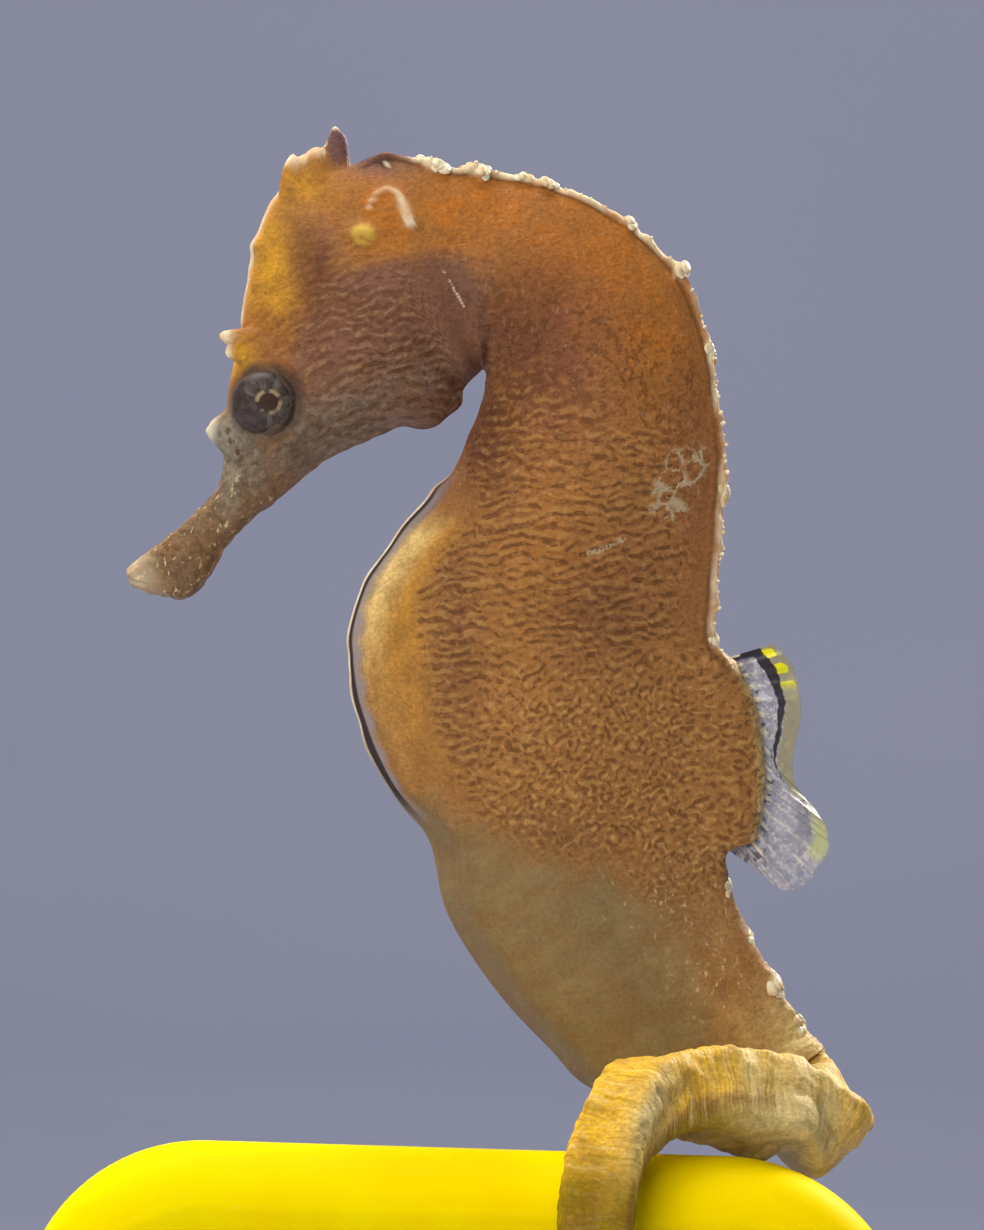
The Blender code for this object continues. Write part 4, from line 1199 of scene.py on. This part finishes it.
def build_eyes(material):
    """Domed eyes, each with a low clear bulge over the pupil."""
    rings, spokes = 48, 72
    for side, sign in (("left", 1), ("right", -1)):
        fall = np.linspace(0, math.pi, rings)[:, None]
        turn = circle(spokes) * sign
        x = EYE_RADIUS * np.sin(fall) * np.cos(turn)
        z = EYE_RADIUS * np.sin(fall) * np.sin(turn)
        bulge = 0.05 * np.exp(-((x - PUPIL_X) ** 2 + z ** 2) / 0.95 ** 2) * (np.cos(fall) > 0)
        y = -sign * (EYE_DEPTH * np.cos(fall) + bulge)
        mesh = welded(uv_surface("eye_" + side, np.stack([x, y, z], axis=-1)))
        piece = add_piece("eyeball_" + side, mesh, material, "eye", "eye_" + side)
        piece.location = Vector(in_plane(EYE_CENTRE, sign * EYE_OUT)) * MM


def lump_mesh(name, lumps):
    """One mesh of small uneven lumps: centre, direction and size of each."""
    bm = bmesh.new()
    for number, (centre, out, size, tall) in enumerate(lumps):
        turn = Vector(out).to_track_quat("Z", "Y").to_matrix().to_4x4()
        made = bmesh.ops.create_icosphere(bm, subdivisions=3 if tall < 1 else 2, radius=1)["verts"]
        local = np.array([v.co for v in made])
        swells = 1 + 0.22 * rough(local + 7.3 * number, 0.9, 21)
        flat = Matrix.Diagonal((size * MM, 1.2 * size * MM, tall * size * MM, 1))
        shape = Matrix.Translation(Vector(centre) * MM) @ turn @ flat
        for vertex, swell in zip(made, swells):
            vertex.co = shape @ (vertex.co * swell)
    return filled(bpy.data.meshes.new(name), bm)


def knob_material(grain):
    b = new_material(
        "cream_knobs", Roughness=0.42, Subsurface_Weight=0.3, Subsurface_Scale=0.5 * MM,
        Subsurface_Radius=(1.0, 0.7, 0.4), Specular_IOR_Level=0.3)
    place = b.millimetres()
    height, mottle = placed(b, grain, Place=place, Size=1.6)
    b.colour = b.mix(b.span(mottle, 0.35, 0.65), srgb(204, 176, 130), srgb(230, 216, 180))
    return b.finish(height, 0.05)


def off_ridge(flesh, side, weight):
    """How far each point of the skin lies off the ridge of the back on one side."""
    return weight * np.abs(flesh.turn - 1) + 99 * ((BODY_Y - flesh.points[:, 1]) * side < 0.3)


def build_knobs(material, flesh, moved, normals, chance):
    """Clusters of small lumps, seated in the skin on the knobs of the back."""
    lumps = []
    for knot_x, knot_z, size, rise in KNOTS:
        if rise < 0.3:
            continue
        reach, number, lump = (0.7, 9, 0.42) if size > 1 else (0.45, 4, 0.36)
        for side in (1, -1):
            away = np.hypot(flesh.points[:, 0] - knot_x, flesh.points[:, 2] - knot_z) / size
            away += off_ridge(flesh, side, 3)
            away += 99 * (flesh.place < at("crown"))
            seats = np.flatnonzero(away < away.min() + reach)
            for seat in chance.choice(seats, number):
                radius = lump * chance.uniform(0.6, 1.2)
                lumps.append((moved[seat] - normals[seat] * radius * 0.3, normals[seat], radius, 0.6))
    add_piece("back_knobs", lump_mesh("back_knobs", lumps), material, "skin_tail")


def build_frill_tags(material, flesh, moved, normals, chance):
    """Ragged tags of skin that stand up along both frills of the back."""
    tags = []
    for side in (1, -1):
        far = off_ridge(flesh, side, 5)
        spot, last = np.interp([at("nape"), at("keel end")], flesh.place, flesh.length)
        while spot < last:
            seat = (np.abs(flesh.length - spot) + far).argmin()
            radius = chance.uniform(0.08, 0.16)
            if moved[seat, 2] > 64.0 and moved[seat, 0] > -3.5:
                tags.append((moved[seat] - normals[seat] * radius * 0.5, normals[seat], radius,
                             chance.uniform(1.2, 2.4)))
            spot += chance.uniform(0.3, 1.1)
    add_piece("back_frill_tags", lump_mesh("back_frill_tags", tags), material, "skin_trunk")


# ------------------------------------------------------------------ fins


def web_group():
    """Clear cloudy skin with paler beaded rays, shared by the fins; Film is how solid it is."""
    b, taken = new_group("fin_web", {"Place": "Vector", "Ray": "Float", "Film": "Float"},
                         {"Colour": "Color", "Solid": "Float", "Height": "Float", "Cloud": "Float"})
    place, ray, film = taken["Place"], taken["Ray"], taken["Film"]
    cloud = b.noise(place, 0.9, 3.0, 0.6)
    beads = b.times(b.span(ray, 0.25, 0.7), b.span(b.noise(place, 2.6, 1.0), 0.48, 0.6))
    b.colour = b.mix(b.span(cloud, 0.3, 0.7), srgb(150, 146, 156), srgb(182, 179, 182))
    patches = b.span(b.noise(place, 2.2, 3.0, 0.7), 0.47, 0.62)
    b.coat(patches, srgb(200, 198, 198))
    b.coat(b.times(beads, 0.7), srgb(226, 222, 212))
    solid = b.most(b.mad(b.times(ray, film), 0.6, film), b.times(beads, film, 1.5))
    return close_group(b, Colour=b.colour, Solid=b.mad(b.times(patches, film), 0.4, solid),
                       Height=b.plus(ray, b.times(cloud, 0.5)), Cloud=cloud)


def web_material(web, name, film):
    """Bench of a fin's material that begins with the shared web, its place and its outputs."""
    b = new_material(name, Roughness=0.4, Specular_IOR_Level=0.3)
    place = b.millimetres()
    b.colour, solid, relief, cloud = placed(b, web, Place=place, Ray=b.attribute("ray"), Film=film)
    return b, place, cloud, solid, relief


def pectoral_material(web):
    b, place, _, solid, relief = web_material(web, "pectoral_fin_web", 0.02)
    b.coat(0.6, srgb(168, 122, 88))
    # A pale band along the fin's root: painted glints, which also make the fan more solid there.
    rim = b.times(b.span(b.attribute("out"), 0.10, 0.04),
                  b.span(b.noise(place, 1.4, 1.0), 0.44, 0.58))
    b.coat(rim, srgb(224, 188, 156))
    return b.finish(relief, 0.08, Alpha=b.most(solid, b.times(rim, 0.8)))


def dorsal_material(web):
    """Black front edge and stripe, yellow blots, a straw margin and a green-gold rear lobe."""
    b, place, cloud, solid, relief = web_material(web, "dorsal_fin_web", 0.5)
    out, along = b.attribute("out"), b.attribute("along")
    sway = b.mad(cloud, 0.14, b.plus(out, -0.07))
    centre = b.span(along, 0.0, 0.24, 0.63, 0.70)
    centre = b.less(centre, b.span(along, 0.28, 0.50, 0.0, 0.13))
    beyond = b.less(sway, centre)
    margin = b.times(b.span(beyond, 0.02, 0.08), b.span(along, 0.54, 0.47))
    b.coat(b.times(margin, 0.85), srgb(160, 150, 104))
    blots = b.times(b.wave(b.mad(along, 14.0, -0.2)), b.span(beyond, 0.0, 0.10),
                    b.span(beyond, 0.32, 0.20))
    blots = b.mad(b.noise(place, 1.6, 1.0), 0.8, blots)
    blots = b.times(b.span(blots, 0.72, 0.86), b.span(along, 0.19, 0.15))
    b.coat(blots, srgb(226, 222, 26))
    lobe_edge = b.times(b.span(sway, 0.78, 0.86), b.span(along, 0.50, 0.55),
                        b.span(along, 0.72, 0.67))
    b.coat(b.times(lobe_edge, 0.8), srgb(198, 202, 132))
    band = b.times(b.span(sway, 0.60, 0.68), b.span(sway, 0.82, 0.78), b.span(along, 0.52, 0.58),
                   b.span(along, 0.74, 0.66))
    b.coat(b.times(band, 0.45), srgb(92, 90, 104))
    reach = b.math("ABSOLUTE", beyond)
    wide = b.mad(b.noise(place, 1.6, 1.0), 0.05, b.span(along, 0.0, 0.45, 0.075, -0.008))
    stripe = b.times(b.span(b.less(reach, wide), 0.012, -0.012), b.span(along, 0.49, 0.465))
    front = b.times(b.span(b.mad(cloud, 0.04, along), 0.065, 0.04), b.span(beyond, 0.04, 0.0))
    strands = b.times(b.span(b.noise(place, 1.7, 1.0), 0.56, 0.62), b.span(along, 0.46, 0.50),
                      b.span(along, 0.58, 0.54), b.span(out, 0.70, 0.80))
    gap = b.attribute("gap")
    specks = b.times(b.span(gap, 0.9, 0.4), b.span(b.noise(place, 2.0, 1.0), 0.56, 0.62), 0.8)
    black = b.most(b.most(stripe, front), b.most(strands, specks))
    b.coat(b.times(black, 0.95), srgb(30, 27, 36))
    roots = b.times(b.span(gap, 0.55, 0.3), b.span(b.attribute("ray"), 0.2, 0.5),
                    b.span(along, 0.92, 0.84))
    b.coat(roots, srgb(236, 226, 200))
    thin = b.span(out, 0.93, 1.0, 1.0, 0.55)
    solid = b.times(solid, b.span(b.times(b.span(along, 0.6, 0.8), out), 0.5, 1.0, 1.0, 0.62))
    for marks, strength in ((margin, 0.66), (blots, 1.0), (lobe_edge, 0.72), (black, 0.96),
                            (roots, 0.95)):
        solid = b.most(solid, b.times(marks, strength))
    return b.finish(relief, 0.08, Alpha=b.capped(solid, thin))


def fin_mesh(name, root, edge, sway, rays, thickness):
    """Thin closed fin between two lines: rays stand out, and the web sways between them.

    root and edge take a share from 0 to 1 and give points in mm; sway takes the
    shares along and out and gives the points' move across the fin."""
    columns, rows = rays * COLUMNS_EACH_RAY + 1, FIN_ROWS
    along = np.linspace(0, 1, columns)
    out = np.linspace(0, 1, rows)
    start, end = root(along), edge(along)
    ray = wave(along * rays) ** 3
    flat = start[None] + (end - start)[None] * out[:, None, None]
    shape = sway(along[None, :] * np.ones((rows, 1)), out[:, None] * np.ones((1, columns)))
    half = thickness / 2 * (1 + 1.8 * ray[None, :]) * (1.15 - 0.85 * out[:, None] ** 3)
    half = half * np.where((along == 0) | (along == 1), 0.4, 1.0)[None, :]
    sides = []
    for sign in (1, -1):
        side = flat + shape
        side[..., 1] -= sign * half
        sides.append(side.reshape(-1, 3))
    count = rows * columns
    faces, unwrap = [], []
    for r in range(rows - 1):
        for k in range(columns - 1):
            corners = ((r, k), (r, k + 1), (r + 1, k + 1), (r + 1, k))
            face = [i * columns + j for i, j in corners]
            uv = [(j / columns, i / rows) for i, j in corners]
            faces += [face, [count + i for i in face[::-1]]]
            unwrap += [(0.5 * u, v) for u, v in uv] + [(0.5 + 0.5 * u, v) for u, v in uv[::-1]]
    web = np.arange(count).reshape(rows, columns)
    rim = np.concatenate([web[0], web[1:, -1], web[-1, -2::-1], web[-2:0:-1, 0]]).tolist()
    for a, c in zip(rim, rim[1:] + rim[:1]):
        faces.append([c, a, count + a, count + c])
        unwrap += [(0.0, 0.0), (0.001, 0.0), (0.001, 0.001), (0.0, 0.001)]
    mesh = new_mesh(name, np.concatenate(sides), faces, unwrap)
    write_attributes(mesh, {"along": np.tile(along, 2 * rows), "ray": np.tile(ray, 2 * rows),
                            "out": np.tile(np.repeat(out, columns), 2)})
    return mesh


def plane_line(line):
    """Smooth line in the middle plane as a function of a share from 0 to 1."""
    def points(share):
        flat = spline(line, np.asarray(share) * (len(line) - 1))
        return np.stack([flat[:, 0], np.full(len(flat), BODY_Y), flat[:, 1]], axis=-1)
    return points


def build_dorsal_fin(material):
    def sway(along, out):
        move = np.zeros(along.shape + (3,))
        move[..., 1] = 0.42 * np.sin(along * 19 + 0.6) + 0.25 * np.sin(along * 41 + 2.0)
        move[..., 1] *= out ** 1.3
        move[..., 0] = out ** 4 * 0.10 * np.sin(along * 60) * (along > 0.55)
        return move

    mesh = fin_mesh("dorsal_fin_web", plane_line(FIN_ROOT), plane_line(FIN_EDGE), sway,
                    rays=19, thickness=0.10)
    points = np.array([vertex.co for vertex in mesh.vertices]) / MM
    write_attributes(mesh, {"gap": points[:, 0] - platform_edge(points[:, 2])})
    add_piece("dorsal_fin_web", mesh, material, "fin", "dorsal_fin")


def build_pectoral_fins(material, skin_points):
    """Clear fans behind the cheeks, each on a slanting root."""
    first, last = np.array(PECTORAL_ROOT_LINE)
    slant = math.atan2(last[0] - first[0], first[1] - last[1])  # way out of the root
    flare = math.radians(PECTORAL_FLARE)
    for side, sign in (("left", 1), ("right", -1)):
        near = skin_points[(BODY_Y - skin_points[:, 1]) * sign > 2]

        def root(share):
            flat = first + (last - first) * np.asarray(share)[:, None]
            gaps = np.hypot(near[:, 0] - flat[:, :1], near[:, 2] - flat[:, 1:])
            level = near[gaps.argmin(axis=1), 1] - sign * 0.06
            return np.stack([flat[:, 0], level, flat[:, 1]], axis=-1)

        base = root([0.5])[0]

        def edge(share):
            angle = slant + math.radians(PECTORAL_SPREAD) * (1 - 2 * np.asarray(share))
            middle = (first + last) / 2
            ahead, up = PECTORAL_LENGTH * np.cos(angle), PECTORAL_LENGTH * np.sin(angle)
            return np.stack([middle[0] + ahead * math.cos(flare),
                             base[1] - sign * ahead * math.sin(flare), middle[1] + up], axis=-1)

        def sway(along, out):
            move = np.zeros(along.shape + (3,))
            move[..., 1] = -sign * out * 0.18 * np.sin(along * 24)
            return move

        mesh = fin_mesh("pectoral_web_" + side, root, edge, sway, rays=14, thickness=0.06)
        add_piece("pectoral_web_" + side, mesh, material, "fin", "pectoral_fin_" + side)


# ------------------------------------------------------- perch and stand


def link_material():
    b = new_material("yellow_link_plastic", Roughness=0.5, Specular_IOR_Level=0.012,
                     Subsurface_Weight=0.15, Subsurface_Scale=1.5 * MM,
                     Subsurface_Radius=(1.0, 0.75, 0.1))
    place = b.millimetres()
    swirl = b.noise(place, 0.09, 3.0, 0.5)
    fine = b.noise(place, 1.4, 3.0, 0.6)
    b.colour = b.mix(b.span(swirl, 0.35, 0.65), srgb(240, 208, 0), srgb(242, 220, 2))
    scuff = b.noise(b.stretched(place, 0.35, 2.2, 2.2), 1.0, 4.0, 0.7)
    scuff = b.times(b.span(scuff, 0.62, 0.75), 0.12)
    b.coat(scuff, srgb(255, 238, 120))
    return b.finish(b.plus(b.times(fine, 0.3), swirl), 0.05,
                    Roughness=b.mad(scuff, 0.8, b.span(fine, 0.3, 0.7, 0.40, 0.50)))


def link_route():
    """Centre line of the link, from its left end to its right end."""
    bend = np.linspace(0, math.pi / 2, LINK_BEND_STEPS)
    right = [(LINK_HALF_STRAIGHT + LINK_BEND_RADIUS * math.sin(a),
              LINK_BEND_RADIUS * (math.cos(a) - 1)) for a in bend]
    level = np.linspace(-LINK_HALF_STRAIGHT, LINK_HALF_STRAIGHT, LINK_STRAIGHT_STEPS)[1:-1]
    line = [(-x, z) for x, z in reversed(right)] + [(x, 0.0) for x in level] + right
    return np.array([(x, BAR_Y, BAR_Z + z - BAR_SLOPE * x) for x, z in line])


def build_link(material):
    """The moulded bar, with its parting line and slightly eased cut ends."""
    route = link_route()
    along = np.gradient(route, axis=0)
    along /= np.linalg.norm(along, axis=1)[:, None]
    across = np.array([0.0, 1.0, 0.0])
    angle = circle(72)[:, None]
    seam = 0.07 * np.exp(-(np.sin(angle) / 0.05) ** 2)
    radius = BAR_RADIUS - 0.02 + seam - 0.02 * (1 - np.abs(np.cos(angle)))
    rings = [centre + radius * (np.cos(angle) * across + np.sin(angle) * np.cross(ahead, across))
             for centre, ahead in zip(route, along)]
    first, last = ([route[end] + (rings[end] - route[end]) * scale + ahead * push
                    for scale, push in LINK_CUT] for end, ahead in ((0, -along[0]), (-1, along[-1])))
    mesh = welded(uv_surface("link_bar", np.array(first[::-1] + rings[1:-1] + last)))
    add_piece("link_bar", mesh, material, "perch_plastic", "perch_link")


def slab_material():
    b = new_material("stand_slab_plastic", Roughness=0.5, Specular_IOR_Level=0.4)
    place = b.millimetres()
    grit = b.noise(place, 3.2, 2.0, 0.6)
    dust = b.noise(place, 0.12, 4.0, 0.6)
    b.colour = b.mix(b.span(dust, 0.45, 0.75), srgb(40, 41, 44), srgb(50, 50, 52))
    return b.finish(grit, 0.03, Roughness=b.span(dust, 0.3, 0.7, 0.52, 0.58))


def steel_material():
    b = new_material("stand_rod_steel", Metallic=1.0, Roughness=0.3)
    place = b.millimetres()
    brushed = b.noise(b.stretched(place, 2.0, 2.0, 14.0), 1.0, 3.0, 0.6)
    b.colour = b.mix(b.span(brushed, 0.3, 0.7), srgb(176, 178, 182), srgb(206, 207, 210))
    return b.finish(brushed, 0.01, Roughness=b.span(brushed, 0.3, 0.7, 0.24, 0.4))


def build_stand():
    slab = slab_material()
    bm = bmesh.new()
    size = Matrix.Diagonal((BASE_LENGTH * MM, BASE_DEPTH * MM, BASE_HEIGHT * MM, 1))
    bmesh.ops.create_cube(bm, size=1, matrix=Matrix.Translation((0, 0, BASE_HEIGHT / 2 * MM)) @ size)
    bmesh.ops.bevel(bm, geom=bm.edges[:], offset=BASE_ROUNDING * MM, segments=8, profile=0.5,
                    affect="EDGES")
    mesh = filled(bpy.data.meshes.new("stand_slab"), bm)
    mesh.set_sharp_from_angle(angle=math.radians(40))
    add_piece("stand_slab", mesh, slab, "stand_slab", "stand_base")
    steel = steel_material()
    for side, sign in (("left", -1), ("right", 1)):
        x = sign * (LINK_HALF_STRAIGHT + LINK_BEND_RADIUS)
        low, high = BASE_HEIGHT, BAR_Z - LINK_BEND_RADIUS - BAR_SLOPE * x
        r = ROD_DIAMETER / 2
        collar = r + 1.1
        profile = ((0.01, low), (collar, low), (collar, low + 0.9), (collar - 0.2, low + 1.1),
                   (r + 0.1, low + 1.1), (r, low + 1.3), (r, high - 0.2), (r - 0.15, high),
                   (0.01, high))
        mesh = welded(turned("stand_post_" + side, profile, (x, BAR_Y), 64))
        mesh.set_sharp_from_angle(angle=math.radians(35))
        add_piece("stand_post_" + side, mesh, steel, "stand_steel", "stand_rod_" + side)


# ------------------------------------------------ studio, light and camera


def build_studio():
    """A pale seamless bowl: floor, curve and wall all round in one sheet."""
    b = new_material("studio_sweep", Roughness=0.9, Specular_IOR_Level=0.1)
    cloud = b.noise(b.millimetres(), 0.004, 2.0)
    b.shade(Base_Color=b.mix(cloud, srgb(158, 162, 180), srgb(172, 172, 188)))
    middle, reach, curve, top = (0.0, -300.0), 1200.0, 400.0, 1000.0
    line = [(share * (reach - curve), 0.0) for share in (0.02, 0.25, 0.5, 0.75, 1.0)]
    for k in range(1, 17):
        a = math.pi / 2 * k / 16
        line.append((reach - curve + curve * math.sin(a), curve * (1 - math.cos(a))))
    line.append((reach, top))
    floor = new_object("studio_sweep", turned("studio_sweep", line, middle, 96))
    floor.data.materials.append(b.material)


# Lamps: place, aim, size and power, colour, spread (degrees), and whether they glint.
ANIMAL = (5, BODY_Y, 68)
LIGHTS = {
    "top_light": ((-40, 20, 330), ANIMAL, 200, 0.14, (1.0, 0.98, 0.94), 80, True),
    "front_fill": ((-160, -420, 190), ANIMAL, 300, 1.75, (1.0, 0.97, 0.94), 180, False),
    "back_rim_right": ((210, 210, 230), ANIMAL, 110, 0.23, (1.0, 0.97, 0.92), 60, True),
    "back_rim_left": ((-200, 210, 230), ANIMAL, 110, 0.12, (1.0, 0.97, 0.92), 60, False),
    "wall_light": ((0, 300, 700), (0, 900, 150), 700, 2.6, (0.94, 0.95, 1.0), 180, False),
}


def build_light():
    world = bpy.data.worlds.new("studio_air")
    world.use_nodes = True
    sky = world.node_tree.nodes["Background"]
    sky.inputs["Color"].default_value = (0.93, 0.94, 1.0, 1)
    sky.inputs["Strength"].default_value = 0.33
    bpy.context.scene.world = world
    for name, (place, aim, size, power, colour, spread, glints) in LIGHTS.items():
        data = bpy.data.lights.new(name, "AREA")
        data.shape = "DISK"
        data.size = size * MM
        data.energy = power
        data.color = colour
        data.spread = math.radians(spread)
        lamp = new_object(name, data)
        lamp.visible_glossy = glints
        lamp.location = Vector(place) * MM
        lamp.rotation_euler = (Vector(aim) - Vector(place)).to_track_quat("-Z", "Y").to_euler()


def build_camera():
    data = bpy.data.cameras.new("camera")
    data.sensor_fit = "VERTICAL"
    data.sensor_height = SENSOR_HEIGHT
    data.lens = SENSOR_HEIGHT * CAMERA_DISTANCE / VIEW_HEIGHT
    data.clip_start = 0.01
    camera = new_object("camera", data)
    camera.location = Vector((CAMERA_X, BODY_Y - CAMERA_DISTANCE, CAMERA_Z)) * MM
    camera.rotation_euler = (math.pi / 2, 0, 0)
    bpy.context.scene.camera = camera


build_camera()
build_studio()
build_light()
grain = grain_group()
flesh, skin_points, skin_normals = build_skin(grain)
back = (knob_material(grain), flesh, skin_points, skin_normals, np.random.default_rng(5))
build_knobs(*back)
build_frill_tags(*back)
build_eyes(eye_material())
web = web_group()
build_dorsal_fin(dorsal_material(web))
build_pectoral_fins(pectoral_material(web), skin_points)
build_link(link_material())
build_stand()
bpy.context.scene.view_settings.view_transform = "Standard"
